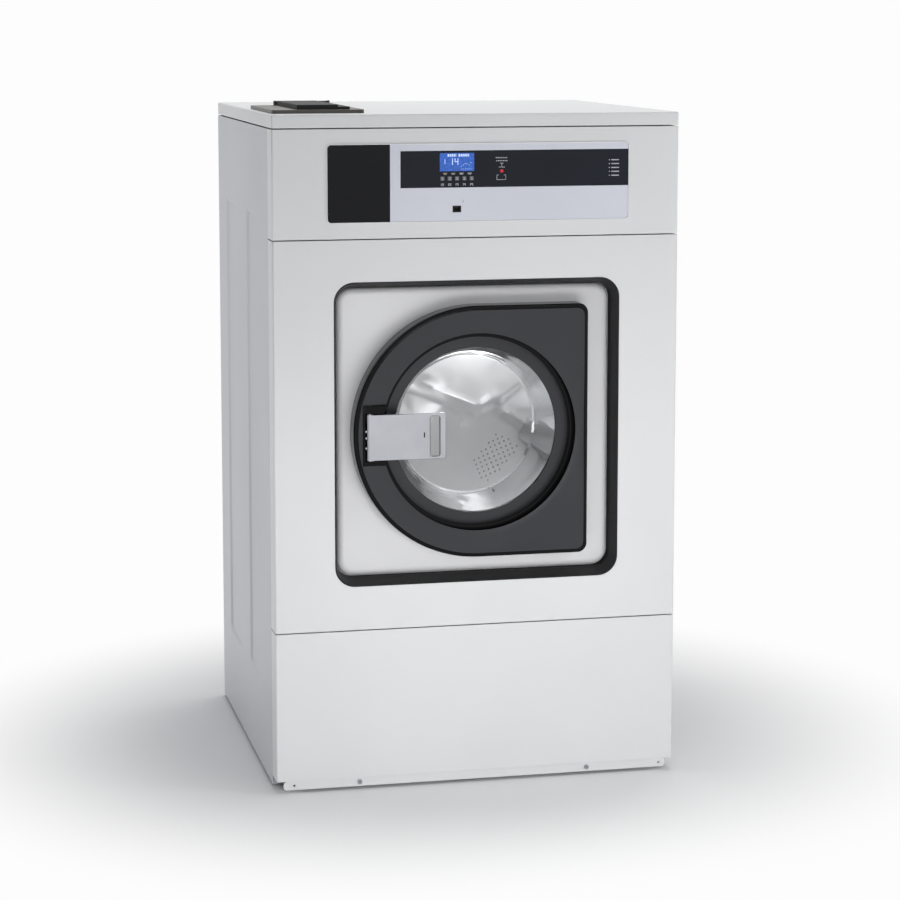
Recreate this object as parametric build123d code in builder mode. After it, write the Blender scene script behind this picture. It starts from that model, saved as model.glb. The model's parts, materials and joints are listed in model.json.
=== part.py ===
import os
from math import cos, radians, sin, sqrt

from build123d import *

os.makedirs("parts", exist_ok=True)

# Rigid-mounted washer-extractor in millimetres.
# x is the width from the middle, z the height above the floor.
# A depth is measured backwards from the casing's front face.

# Casing
cabinet_width = 692.0
cabinet_depth = 660.0
cabinet_height = 1132.0
lip_gap = 5.0
sheet = 1.5
seam = 2.0
front_wrap = 45.0
bend_r = 3.0
worktop_skirt = 22.0
fascia_height = 180.5
front_panel_height = 655.0
plinth_height = 15.0

# Fits
clear = 0.3
run_fit = 0.05
key_gap = 0.4
overrun = 6.0

# Reach past the casing, which sets where the middle of the depth lies
handle_reach = 15.5
rear_reach = 33.0
front_y = (handle_reach - cabinet_depth - rear_reach) / 2

# Heights that follow from the casing
half_width = cabinet_width / 2
top_z = lip_gap + cabinet_height
fascia_top = top_z - worktop_skirt - seam
fascia_bottom = fascia_top - fascia_height
front_top = fascia_bottom - seam
front_bottom = front_top - front_panel_height
lower_top = front_bottom - seam
lower_bottom = lip_gap + plinth_height + seam / 2

# Wash group
drum_z = 605.0
tub_margin = 54.0
tub_r = half_width - tub_margin
drum_gap = 26.0
drum_r = tub_r - drum_gap
drum_front = 70.0
drum_length = 400.0
tub_wall = 2.0
tub_front_depth = 62.0
tub_length = 438.0
tub_flange = 6.0
door_bore_margin = 79.5
door_bore_r = drum_r - door_bore_margin
drum_axis = Axis((0, 0, drum_z), (0, 1, 0))

# Drive
pulley_plane = 615.0
pulley_width = 24.0
drum_pulley_r = 190.0
motor_pulley_r = 35.0
motor_x = 150.0
motor_z = 150.0


def front_plane(depth):
    """Upright plane that looks at the user, at a depth behind the front."""
    return Plane.XZ.offset(-(front_y + depth))


def block(x_span, depth_span, z_span, mode=Mode.ADD):
    """Box between two widths, two depths and two heights."""
    spans = (x_span, depth_span, z_span)
    width, depth, height = (high - low for low, high in spans)
    middle_x, middle_depth, middle_z = (sum(span) / 2 for span in spans)
    with Locations((middle_x, front_y + middle_depth, middle_z)):
        Box(width, depth, height, mode=mode)


def bar(x, z, radius, depth_span, mode=Mode.ADD):
    """Round bar that runs from front to back."""
    near, far = depth_span
    with Locations(Location((x, front_y + (near + far) / 2, z), (90, 0, 0))):
        Cylinder(radius, far - near, mode=mode)


def cross_bar(depth, z, radius, x_span, mode=Mode.ADD):
    """Round bar that runs from side to side."""
    left, right = x_span
    with Locations(Location(((left + right) / 2, front_y + depth, z), (0, 90, 0))):
        Cylinder(radius, right - left, mode=mode)


def upright(x, depth, radius, z_span, mode=Mode.ADD):
    """Round bar that stands upright."""
    low, high = z_span
    with Locations((x, front_y + depth, (low + high) / 2)):
        Cylinder(radius, high - low, mode=mode)


def turned(points):
    """Closed profile of (depth, radius) points beside the drum's axis."""
    with BuildSketch(Plane.YZ) as profile:
        with BuildLine():
            Polyline([(front_y + depth, drum_z + radius) for depth, radius in points], close=True)
        make_face()
    return profile.sketch


def mirrored(span):
    """The same span on the other side of the middle."""
    return (-span[1], -span[0])


# Base frame: a ring of channel with two cross members and four anchor holes
base_height = 60.0
base_inset = 22.0
base_front = 24.0
channel_wall = 5.0
channel_flange = 45.0
anchor_inset = 36.0
anchor_r = 7.0
cross_depths = (122.0, 342.0, 420.0, 565.0)
cross_width = 40.0
base_x = half_width - base_inset
base_back = cabinet_depth - base_front
base_mid_y = front_y + cabinet_depth / 2
anchor_spacing_x = 2 * (base_x - anchor_inset)
anchor_spacing_y = base_back - base_front - 2 * anchor_inset

with BuildPart() as base_frame:
    block((-base_x, base_x), (base_front, base_back), (0, base_height))
    hollow_x = base_x - channel_wall
    block(
        (-hollow_x, hollow_x),
        (base_front + channel_wall, base_back - channel_wall),
        (channel_wall, base_height - channel_wall),
        mode=Mode.SUBTRACT,
    )
    inner_x = base_x - channel_flange
    block(
        (-inner_x, inner_x),
        (base_front + channel_flange, base_back - channel_flange),
        (-overrun, base_height + overrun),
        mode=Mode.SUBTRACT,
    )
    for cross_depth in cross_depths:
        near = cross_depth - cross_width / 2
        far = cross_depth + cross_width / 2
        block((-hollow_x, hollow_x), (near, far), (channel_wall, base_height))
        block(
            (-hollow_x, hollow_x),
            (near + channel_wall, far - channel_wall),
            (channel_wall - overrun, base_height - channel_wall),
            mode=Mode.SUBTRACT,
        )
    with Locations((0, base_mid_y, base_height)):
        with GridLocations(anchor_spacing_x, anchor_spacing_y, 2, 2):
            Hole(anchor_r)
base_frame.part.label = "base_frame"
export_step(base_frame.part, "parts/base_frame.step")

# Body frame: four square posts under a ring of angle
post_size = 25.0
post_wall = 2.0
rail_top = top_z - sheet
rail_bottom = rail_top - post_size
post_inner_x = base_x - post_size

with BuildPart() as body_frame:
    with BuildSketch(Plane.XY.offset(base_height)):
        with Locations((0, base_mid_y)):
            with GridLocations(2 * base_x - post_size, base_back - base_front - post_size, 2, 2):
                Rectangle(post_size, post_size)
                Rectangle(post_size - 2 * post_wall, post_size - 2 * post_wall, mode=Mode.SUBTRACT)
    extrude(amount=rail_bottom - base_height)
    with BuildSketch(Plane.XY.offset(rail_bottom)):
        with Locations((0, base_mid_y)):
            Rectangle(2 * base_x, base_back - base_front)
            Rectangle(
                2 * (base_x - post_wall), base_back - base_front - 2 * post_wall, mode=Mode.SUBTRACT
            )
    extrude(amount=post_size)
    with BuildSketch(Plane.XY.offset(rail_top)):
        with Locations((0, base_mid_y)):
            Rectangle(2 * base_x, base_back - base_front)
            Rectangle(2 * post_inner_x, base_back - base_front - 2 * post_size, mode=Mode.SUBTRACT)
    extrude(amount=-post_wall)
body_frame.part.label = "body_frame"
export_step(body_frame.part, "parts/body_frame.step")

# Side panels: a sheet with two long pressed fields and two return flanges
side_gap = 1.0
field_width = 144.0
field_height = 813.0
field_bottom = 153.0
field_r = 12.0
press_depth = 3.0
press_taper = 60.0
field_rear_edges = (296.0, 555.0)
side_front = front_wrap + side_gap
field_z = field_bottom + field_height / 2

with BuildPart() as right_side_panel:
    block((half_width - sheet, half_width), (side_front, cabinet_depth), (lip_gap, fascia_top))
    for flange_depth in (side_front + sheet, base_back):
        block((base_x, half_width), (flange_depth - sheet, flange_depth), (lip_gap, fascia_top))
    with BuildSketch(Plane.YZ.offset(half_width)):
        for rear_edge in field_rear_edges:
            with Locations((front_y + rear_edge - field_width / 2, field_z)):
                RectangleRounded(field_width + 2 * sheet, field_height + 2 * sheet, field_r + sheet)
    extrude(amount=-(press_depth + sheet))
    with BuildSketch(Plane.YZ.offset(half_width)):
        for rear_edge in field_rear_edges:
            with Locations((front_y + rear_edge - field_width / 2, field_z)):
                RectangleRounded(field_width, field_height, field_r)
    extrude(amount=-press_depth, taper=press_taper, mode=Mode.SUBTRACT)
right_side_panel.part.label = "right_side_panel"
export_step(right_side_panel.part, "parts/right_side_panel.step")

with BuildPart() as left_side_panel:
    mirror(right_side_panel.part, about=Plane.YZ)
left_side_panel.part.label = "left_side_panel"
export_step(left_side_panel.part, "parts/left_side_panel.step")

# Soap hopper: flange on the worktop, box with three compartments, outlet spigot
hopper_flange_x = (-337.0, -182.0)
hopper_flange_depth = (48.0, 300.0)
hopper_flange_height = 6.0
hopper_box_x = (-290.0, -207.0)
hopper_box_depth = (66.0, 282.0)
hopper_box_bottom = 1010.0
hopper_wall = 3.0
hopper_gap = 2.0
hopper_corner_r = 8.0
compartments = 3
spigot_r = 20.0
spigot_wall = 3.0
spigot_length = 28.0
lid_overlap = 3.0
lid_height = 8.0
lid_step = 3.5
lid_step_width = 20.0
lid_skin = 2.5
lid_pin_r = 2.0
lid_barrel_r = 3.5
lid_ear = 4.0
lid_ear_gap = 0.4
flange_top = top_z + hopper_flange_height
lid_x = (hopper_box_x[0] - lid_overlap, hopper_box_x[1] + lid_overlap)
lid_depth = (hopper_box_depth[0] - lid_overlap, hopper_box_depth[1] + lid_overlap)
lid_axis_depth = lid_depth[1] + lid_barrel_r
lid_axis_z = flange_top + lid_barrel_r + key_gap
spigot_x = sum(hopper_box_x) / 2
spigot_depth = sum(hopper_box_depth) / 2

with BuildPart() as hopper_body:
    with BuildSketch(Plane.XY.offset(top_z)):
        with Locations((sum(hopper_flange_x) / 2, front_y + sum(hopper_flange_depth) / 2)):
            RectangleRounded(
                hopper_flange_x[1] - hopper_flange_x[0],
                hopper_flange_depth[1] - hopper_flange_depth[0],
                hopper_corner_r,
            )
    extrude(amount=hopper_flange_height)
    block(hopper_box_x, hopper_box_depth, (hopper_box_bottom, flange_top))
    upright(spigot_x, spigot_depth, spigot_r, (hopper_box_bottom - spigot_length, hopper_box_bottom))
    cell_length = (
        hopper_box_depth[1] - hopper_box_depth[0] - (compartments + 1) * hopper_wall
    ) / compartments
    for cell in range(compartments):
        cell_front = hopper_box_depth[0] + hopper_wall + cell * (cell_length + hopper_wall)
        block(
            (hopper_box_x[0] + hopper_wall, hopper_box_x[1] - hopper_wall),
            (cell_front, cell_front + cell_length),
            (hopper_box_bottom + hopper_wall, flange_top + overrun),
            mode=Mode.SUBTRACT,
        )
    upright(
        spigot_x,
        spigot_depth,
        spigot_r - spigot_wall,
        (hopper_box_bottom - spigot_length - overrun, hopper_box_bottom + overrun),
        mode=Mode.SUBTRACT,
    )
    for ear_x in (
        (lid_x[0] - lid_ear_gap - lid_ear, lid_x[0] - lid_ear_gap),
        (lid_x[1] + lid_ear_gap, lid_x[1] + lid_ear_gap + lid_ear),
    ):
        block(
            ear_x,
            (lid_axis_depth - lid_ear, lid_axis_depth + lid_ear),
            (top_z, lid_axis_z + lid_ear),
        )
    pin_hole_x = (lid_x[0] - lid_ear_gap - lid_ear - overrun, lid_x[1] + lid_ear_gap + lid_ear + overrun)
    cross_bar(lid_axis_depth, lid_axis_z, lid_pin_r + run_fit, pin_hole_x, mode=Mode.SUBTRACT)
hopper_body.part.label = "hopper_body"
export_step(hopper_body.part, "parts/hopper_body.step")

# Hopper lid: a shallow tray with a low step at its right, hinged at the rear
with BuildPart() as hopper_lid:
    block(lid_x, lid_depth, (flange_top + key_gap, flange_top + lid_height))
    edge_choice = edges().filter_by(Axis.Z) + faces().sort_by(Axis.Z)[-1].edges()
    fillet(edge_choice, radius=lid_skin / 2)
    block(
        (lid_x[1] - lid_step_width, lid_x[1] + overrun),
        (lid_depth[0] - overrun, lid_depth[1] + overrun),
        (flange_top + lid_height - lid_step, flange_top + lid_height + overrun),
        mode=Mode.SUBTRACT,
    )
    block(
        (lid_x[0] + lid_skin, lid_x[1] - lid_skin),
        (lid_depth[0] + lid_skin, lid_depth[1] - lid_skin),
        (flange_top - overrun, flange_top + lid_height - lid_step - lid_skin),
        mode=Mode.SUBTRACT,
    )
    block(lid_x, (lid_depth[1] - lid_skin, lid_axis_depth), (lid_axis_z - lid_pin_r, lid_axis_z + lid_pin_r))
    cross_bar(lid_axis_depth, lid_axis_z, lid_barrel_r, lid_x)
    pin_x = (lid_x[0] - lid_ear_gap - lid_ear, lid_x[1] + lid_ear_gap + lid_ear)
    cross_bar(lid_axis_depth, lid_axis_z, lid_pin_r, pin_x)
hopper_lid.part.label = "hopper_lid"
export_step(hopper_lid.part, "parts/hopper_lid.step")

# Worktop: a folded tray, open under its skirt, with the hopper's hole
with BuildPart() as worktop:
    block((-half_width, half_width), (0, cabinet_depth), (top_z - worktop_skirt, top_z))
    fillet(edges().filter_by(Axis.Z), radius=bend_r)
    fillet(faces().sort_by(Axis.Z)[-1].edges(), radius=bend_r)
    block(
        (sheet - half_width, half_width - sheet),
        (sheet, cabinet_depth - sheet),
        (top_z - worktop_skirt - overrun, top_z - sheet),
        mode=Mode.SUBTRACT,
    )
    block(
        (hopper_box_x[0] - hopper_gap, hopper_box_x[1] + hopper_gap),
        (hopper_box_depth[0] - hopper_gap, hopper_box_depth[1] + hopper_gap),
        (top_z - overrun, top_z + overrun),
        mode=Mode.SUBTRACT,
    )
worktop.part.label = "worktop"
export_step(worktop.part, "parts/worktop.step")


def wrapped_sheet(z_span):
    """Front sheet with wings around the sides and folded edges back to the posts."""
    low, high = z_span
    block((-half_width, half_width), (0, front_wrap), z_span)
    fillet(edges().filter_by(Axis.Z).group_by(Axis.Y)[0], radius=bend_r)
    block(
        (sheet - half_width, half_width - sheet),
        (sheet, front_wrap + overrun),
        (low - overrun, high + overrun),
        mode=Mode.SUBTRACT,
    )
    for fold in ((low, low + sheet), (high - sheet, high)):
        block((sheet - half_width, half_width - sheet), (sheet, base_front), fold)


# Control field: light overlay, black lens, display, keys and service port
overlay_x = (-254.0, 258.0)
overlay_z = (959.6, 1087.1)
overlay_r = 8.0
overlay_thickness = 1.0
lens_x = (-132.0, 258.0)
lens_z = (1015.0, 1076.0)
lcd_x = (-65.7, -7.5)
lcd_z = (1042.0, 1072.0)
lcd_setback = 0.3
board_depth = 10.0
board_thickness = 1.6
board_margin = 12.0
key_count = 5
key_size = 6.6
key_pitch = 12.4
key_first_x = -61.4
key_z = 1030.0
key_rise = 0.6
key_travel = 0.8
switch_size = 5.0
switch_height = 3.0
pillar_r = 4.0
port_x = (-44.1, -29.7)
port_z = (974.0, 984.9)
port_wall = 2.2
port_length = 14.0
port_rise = 0.5
key_places = [(key_first_x + number * key_pitch, key_z) for number in range(key_count)]
key_window = key_size + 2 * key_gap
lens_middle = (sum(lens_x) / 2, sum(lens_z) / 2)
lcd_middle = (sum(lcd_x) / 2, sum(lcd_z) / 2)
port_middle = (sum(port_x) / 2, sum(port_z) / 2)
port_width = port_x[1] - port_x[0]
port_height = port_z[1] - port_z[0]

with BuildPart() as control_overlay:
    with BuildSketch(front_plane(0)):
        with Locations((sum(overlay_x) / 2, sum(overlay_z) / 2)):
            RectangleRounded(overlay_x[1] - overlay_x[0], overlay_z[1] - overlay_z[0], overlay_r)
        with Locations((lens_middle[0] + overrun / 2, lens_middle[1])):
            Rectangle(lens_x[1] - lens_x[0] + overrun, lens_z[1] - lens_z[0], mode=Mode.SUBTRACT)
        with Locations(port_middle):
            Rectangle(port_width, port_height, mode=Mode.SUBTRACT)
    extrude(amount=overlay_thickness)
control_overlay.part.label = "control_overlay"
export_step(control_overlay.part, "parts/control_overlay.step")

with BuildPart() as display_lens:
    with BuildSketch(front_plane(0)):
        with Locations(lens_middle):
            Rectangle(lens_x[1] - lens_x[0], lens_z[1] - lens_z[0])
        with Locations(lcd_middle):
            Rectangle(lcd_x[1] - lcd_x[0] + 2 * clear, lcd_z[1] - lcd_z[0] + 2 * clear, mode=Mode.SUBTRACT)
        with Locations(key_places):
            Rectangle(key_window, key_window, mode=Mode.SUBTRACT)
    extrude(amount=overlay_thickness)
display_lens.part.label = "display_lens"
export_step(display_lens.part, "parts/display_lens.step")

with BuildPart() as service_port:
    block(port_x, (-overlay_thickness - port_rise, port_length), port_z)
    block(
        (port_x[0] + port_wall, port_x[1] - port_wall),
        (-overlay_thickness - overrun, port_length - port_wall),
        (port_z[0] + port_wall, port_z[1] - port_wall),
        mode=Mode.SUBTRACT,
    )
service_port.part.label = "service_port"
export_step(service_port.part, "parts/service_port.step")

board_x = (lcd_x[0] - board_margin, lcd_x[1] + board_margin)
board_z = (key_z - key_size - board_margin, lcd_z[1] + board_margin)
pillar_x = (board_x[1] - board_x[0]) - 2 * pillar_r
pillar_z = (board_z[1] - board_z[0]) - 2 * pillar_r

with BuildPart() as control_board:
    block(board_x, (board_depth, board_depth + board_thickness), board_z)
    with BuildSketch(front_plane(board_depth)):
        with Locations(key_places):
            Rectangle(switch_size, switch_size)
    extrude(amount=switch_height)
    with BuildSketch(front_plane(board_depth)):
        with Locations((sum(board_x) / 2, sum(board_z) / 2)):
            with GridLocations(pillar_x, pillar_z, 2, 2):
                Circle(pillar_r)
    extrude(amount=board_depth - sheet)
    block(lcd_x, (lcd_setback - overlay_thickness, board_depth), lcd_z)
control_board.part.label = "control_board"
export_step(control_board.part, "parts/control_board.step")

for number, (key_x, height) in enumerate(key_places, start=1):
    with BuildPart() as push_key:
        block(
            (key_x - key_size / 2, key_x + key_size / 2),
            (-overlay_thickness - key_rise, board_depth - switch_height - key_travel - key_gap),
            (height - key_size / 2, height + key_size / 2),
        )
        fillet(faces().sort_by(Axis.Y)[0].edges(), radius=key_rise / 2)
    push_key.part.label = f"key_{number}"
    export_step(push_key.part, f"parts/key_{number}.step")

with BuildPart() as control_fascia:
    wrapped_sheet((fascia_bottom, fascia_top))
    window_z = (key_z - key_size, lcd_z[1] + clear)
    block((lcd_x[0] - clear, lcd_x[1] + clear), (-overrun, sheet), window_z, mode=Mode.SUBTRACT)
    block(port_x, (-overrun, sheet), port_z, mode=Mode.SUBTRACT)
control_fascia.part.label = "control_fascia"
export_step(control_fascia.part, "parts/control_fascia.step")

# Front panel with its rounded cut-out
cutout_margin = 101.5
cutout_extra = 11.5
cutout_half_x = half_width - cutout_margin
cutout_half_z = cutout_half_x + cutout_extra
cutout_r = 34.0

with BuildPart() as front_panel:
    wrapped_sheet((front_bottom, front_top))
    with BuildSketch(front_plane(sheet + overrun)):
        with Locations((0, drum_z)):
            RectangleRounded(2 * cutout_half_x, 2 * cutout_half_z, cutout_r)
    extrude(amount=sheet + 2 * overrun, mode=Mode.SUBTRACT)
front_panel.part.label = "front_panel"
export_step(front_panel.part, "parts/front_panel.step")

with BuildPart() as lower_front_panel:
    wrapped_sheet((lower_bottom, lower_top))
lower_front_panel.part.label = "lower_front_panel"
export_step(lower_front_panel.part, "parts/lower_front_panel.step")

# Plinth strip: set back under the lower panel, with two screws and two holes
plinth_inset = 12.0
plinth_setback = 3.0
plinth_r = 6.0
plinth_holes_x = (-315.7, 322.7)
plinth_hole_r = 2.0
plinth_screws_x = (-203.9, 192.9)
screw_head_r = 4.0
screw_head_height = 2.0
screw_shank_r = 2.0
screw_length = 8.0
plinth_z = lip_gap + plinth_height / 2
plinth_back = base_front

with BuildPart() as plinth_strip:
    with BuildSketch(front_plane(plinth_setback + sheet)):
        with Locations((0, plinth_z)):
            RectangleRounded(cabinet_width - 2 * plinth_inset, plinth_height, plinth_r)
    extrude(amount=sheet)
    block(
        (-base_x, base_x),
        (plinth_setback + sheet, plinth_back),
        (lip_gap + plinth_height - sheet, lip_gap + plinth_height),
    )
    with BuildSketch(front_plane(plinth_setback + sheet + overrun)):
        with Locations([(place, plinth_z) for place in plinth_holes_x]):
            Circle(plinth_hole_r)
        with Locations([(place, plinth_z) for place in plinth_screws_x]):
            Circle(screw_shank_r + clear)
    extrude(amount=sheet + 2 * overrun, mode=Mode.SUBTRACT)
plinth_strip.part.label = "plinth_strip"
export_step(plinth_strip.part, "parts/plinth_strip.step")

# Door surround: a pan set back in the cut-out, with the door's opening
surround_side_gap = 9.5
surround_end_gap = 12.5
surround_half_x = cutout_half_x - surround_side_gap
surround_half_z = cutout_half_z - surround_end_gap
surround_r = 26.0
surround_face = 30.0
surround_sheet = 2.0
surround_edge_r = 12.0
surround_back = 46.0
surround_flange = 18.0
trim_gap = 2.0
trim_inner_back_x = surround_half_x + trim_gap
trim_inner_back_z = surround_half_z + trim_gap
trim_lip = 2.0
trim_slope_depth = 25.0
ear_half_height = 4.0
ear_offset = 120.0
ear_stem = 3.0
ear_nose_r = 4.5
ear_plate_depth = 4.0
ear_plate_height = 32.0
ear_plate_inner = 8.0
ear_plate_outer = 16.0
hinge_depth = 0.0
hinge_pin_r = 2.5
hinge_inset = 9.0
door_overlap = 26.5
door_r = door_bore_r + door_overlap
door_cutback = 24.0
door_right = door_r - door_cutback
hinge_x = door_right - hinge_inset
ear_gap = 0.5
ear_heights = (drum_z - ear_offset, drum_z + ear_offset)
surround_sheet_back = surround_face + surround_sheet

with BuildPart() as door_surround:
    with BuildSketch(front_plane(surround_back)):
        with Locations((0, drum_z)):
            RectangleRounded(2 * surround_half_x, 2 * surround_half_z, surround_r)
    extrude(amount=surround_back - surround_face)
    fillet(faces().sort_by(Axis.Y)[0].edges(), radius=surround_edge_r)
    offset(amount=-surround_sheet, openings=faces().sort_by(Axis.Y)[-1])
    with BuildSketch(front_plane(surround_back)):
        with Locations((0, drum_z)):
            Rectangle(2 * post_inner_x, 2 * (cutout_half_z + surround_flange))
            RectangleRounded(
                2 * (surround_half_x - surround_sheet),
                2 * (surround_half_z - surround_sheet),
                surround_r - surround_sheet,
                mode=Mode.SUBTRACT,
            )
    extrude(amount=sheet)
    bar(0, drum_z, door_bore_r, (surround_face - overrun, surround_sheet_back + overrun), mode=Mode.SUBTRACT)
    for ear_z in ear_heights:
        block(
            (hinge_x - ear_stem - ear_gap, hinge_x + ear_stem + ear_gap),
            (surround_face - overrun, surround_sheet_back + overrun),
            (ear_z - ear_half_height - ear_gap, ear_z + ear_half_height + ear_gap),
            mode=Mode.SUBTRACT,
        )
door_surround.part.label = "door_surround"
export_step(door_surround.part, "parts/door_surround.step")

# Cut-out trim: black funnel between the front panel and the surround
with BuildPart() as cutout_trim:
    with BuildSketch(front_plane(surround_back - sheet)):
        with Locations((0, drum_z)):
            RectangleRounded(2 * (cutout_half_x - clear), 2 * (cutout_half_z - clear), cutout_r - clear)
            RectangleRounded(
                2 * trim_inner_back_x, 2 * trim_inner_back_z, surround_r + trim_lip, mode=Mode.SUBTRACT
            )
    extrude(amount=surround_back - sheet)
    with BuildSketch(front_plane(0)) as trim_mouth:
        with Locations((0, drum_z)):
            mouth_x = cutout_half_x - clear - trim_lip
            mouth_z = cutout_half_z - clear - trim_lip
            RectangleRounded(2 * mouth_x, 2 * mouth_z, cutout_r - trim_lip)
    with BuildSketch(front_plane(trim_slope_depth)) as trim_throat:
        with Locations((0, drum_z)):
            RectangleRounded(2 * trim_inner_back_x, 2 * trim_inner_back_z, surround_r + trim_lip)
    loft(mode=Mode.SUBTRACT)
cutout_trim.part.label = "cutout_trim"
export_step(cutout_trim.part, "parts/cutout_trim.step")

# Hinge ears: two plates behind the surround, each with an ear through its slot
with BuildPart() as hinge_ears:
    for ear_z in ear_heights:
        outward = (ear_z - drum_z) / ear_offset
        plate_z = sorted((ear_z - outward * ear_half_height * 2, ear_z + outward * ear_plate_height))
        block(
            (hinge_x - ear_plate_inner, hinge_x + ear_plate_outer),
            (surround_sheet_back, surround_sheet_back + ear_plate_depth),
            plate_z,
        )
        ear_span = (ear_z - ear_half_height, ear_z + ear_half_height)
        block(
            (hinge_x - ear_stem, hinge_x + ear_stem),
            (hinge_depth, surround_sheet_back + ear_plate_depth),
            ear_span,
        )
        upright(hinge_x, hinge_depth, ear_nose_r, ear_span)
        upright(
            hinge_x,
            hinge_depth,
            hinge_pin_r + run_fit,
            (ear_span[0] - overrun, ear_span[1] + overrun),
            mode=Mode.SUBTRACT,
        )
hinge_ears.part.label = "hinge_ears"
export_step(hinge_ears.part, "parts/hinge_ears.step")

# Door: D-shaped frame with a rounded rim, set on the surround
door_corner_r = 16.0
door_seat_gap = 0.5
door_back = surround_face - door_seat_gap
door_front = -9.5
door_bevel = 7.0
face_thickness = 3.0
plug_gap = 8.5
plug_r = door_bore_r - plug_gap
plug_back = 52.0
throat_wall = 11.0
throat_r = plug_r - throat_wall
throat_step = 5.0
seat_ledge = 7.0
seat_r = throat_r - seat_ledge
ring_depth = 20.0
ring_thickness = 6.0
ring_seat = 5.0
ring_r = seat_r + ring_seat
ring_width = 20.0
glass_r = seat_r - ring_width
glass_wall = 5.0
bowl_depth = 98.0
bowl_taper = 20.0
bowl_end_r = glass_r - bowl_taper
dish_margin = 9.0
dish_r = door_r - dish_margin
dish_depth = 2.0
housing_inset = 15.0
housing_width = 42.0
housing_x = (housing_inset - door_r, housing_inset + housing_width - door_r)
housing_below = 50.0
housing_above = 51.0
housing_z = (drum_z - housing_below, drum_z + housing_above)
housing_front = -11.0
housing_floor = 4.0
housing_wall = 3.5
pin_length = 34.0
relief_r = door_back - hinge_depth


def door_outline(depth, inset):
    """Round at the left, straight at the right, drawn in by an inset."""
    reach = door_r - inset
    right = door_right - inset
    top, bottom = drum_z + reach, drum_z - reach
    with BuildSketch(front_plane(depth)) as outline:
        with BuildLine():
            Polyline((0, top), (right, top), (right, bottom), (0, bottom))
            ThreePointArc((0, bottom), (-reach, drum_z), (0, top))
        make_face()
        fillet(outline.vertices().group_by(Axis.X)[-1], radius=door_corner_r - inset / 2)
    return outline.sketch


latch_z = drum_z
latch_depth = 41.0
latch_r = 5.0
latch_reach = 14.0
latch_seat = 3.0
latch_x = (-plug_r - latch_reach, latch_seat - plug_r)
latch_travel = 8.0
latch_chamfer = 1.6

with BuildPart() as door_frame:
    extrude(door_outline(door_back, 0), amount=door_back - door_front)
    fillet(faces().sort_by(Axis.Y)[0].edges(), radius=door_bevel)
    bar(0, drum_z, plug_r, (door_back, plug_back))
    extrude(door_outline(door_front + face_thickness, door_bevel), amount=overrun, mode=Mode.SUBTRACT)
    bar(0, drum_z, throat_r, (door_front - overrun, throat_step), mode=Mode.SUBTRACT)
    bar(0, drum_z, seat_r, (throat_step - overrun, plug_back + overrun), mode=Mode.SUBTRACT)
    bar(0, drum_z, ring_r, (ring_depth, plug_back + overrun), mode=Mode.SUBTRACT)
    block(
        (housing_x[0], overrun - sqrt(seat_r**2 - (housing_z[1] - drum_z) ** 2)),
        (door_front - overrun, housing_floor),
        housing_z,
        mode=Mode.SUBTRACT,
    )
    with BuildSketch(Plane.XY.offset(drum_z - door_r - overrun)):
        with Locations((hinge_x, front_y + hinge_depth)):
            Rectangle(door_r, door_r, align=(Align.MIN, Align.MIN))
            Circle(relief_r, mode=Mode.SUBTRACT)
    extrude(amount=2 * (door_r + overrun), mode=Mode.SUBTRACT)
    for ear_z in ear_heights:
        pocket_z = (ear_z - ear_half_height - ear_gap, ear_z + ear_half_height + ear_gap)
        upright(hinge_x, hinge_depth, ear_nose_r + ear_gap, pocket_z, mode=Mode.SUBTRACT)
        block(
            (hinge_x - ear_nose_r - ear_gap, door_right + overrun),
            (hinge_depth - ear_nose_r - ear_gap, door_back + overrun),
            pocket_z,
            mode=Mode.SUBTRACT,
        )
        upright(
            hinge_x,
            hinge_depth,
            hinge_pin_r + run_fit,
            (ear_z - pin_length / 2, ear_z + pin_length / 2),
            mode=Mode.SUBTRACT,
        )
    latch_bore = (-plug_r - overrun, latch_x[1] + latch_travel + clear)
    cross_bar(latch_depth, latch_z, latch_r + run_fit, latch_bore, mode=Mode.SUBTRACT)
door_frame.part.label = "door_frame"
export_step(door_frame.part, "parts/door_frame.step")

with BuildPart() as door_face:
    extrude(door_outline(door_front + face_thickness, door_bevel + clear), amount=face_thickness)
    bar(0, drum_z, throat_r, (door_front - overrun, door_front + 2 * overrun), mode=Mode.SUBTRACT)
    dish = [
        (door_front, dish_r),
        (door_front + dish_depth, throat_r - overrun),
        (door_front - overrun, throat_r - overrun),
        (door_front - overrun, dish_r),
    ]
    revolve(turned(dish), axis=drum_axis, mode=Mode.SUBTRACT)
    block(
        (housing_x[0] - clear, 0),
        (door_front - overrun, door_front + overrun),
        (housing_z[0] - clear, housing_z[1] + clear),
        mode=Mode.SUBTRACT,
    )
door_face.part.label = "door_face"
export_step(door_face.part, "parts/door_face.step")

with BuildPart() as glass_ring:
    ring_profile = [
        (ring_depth, glass_r),
        (ring_depth, ring_r - clear),
        (ring_depth + ring_thickness, ring_r - clear),
        (ring_depth + ring_thickness, glass_r),
    ]
    revolve(turned(ring_profile), axis=drum_axis)
glass_ring.part.label = "glass_ring"
export_step(glass_ring.part, "parts/glass_ring.step")

flange_front = ring_depth + ring_thickness
flange_back = flange_front + glass_wall

with BuildPart() as door_glass:
    bowl_profile = [
        (flange_front, glass_r + clear),
        (flange_front, ring_r - clear),
        (flange_back, ring_r - clear),
        (flange_back, glass_r + clear + glass_wall / 2),
        (bowl_depth - glass_wall, bowl_end_r + glass_wall),
        (bowl_depth, bowl_end_r),
        (bowl_depth + glass_wall, 0),
        (bowl_depth, 0),
        (bowl_depth - glass_wall, bowl_end_r - glass_wall / 2),
    ]
    revolve(turned(bowl_profile), axis=drum_axis)
door_glass.part.label = "door_glass"
export_step(door_glass.part, "parts/door_glass.step")

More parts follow.
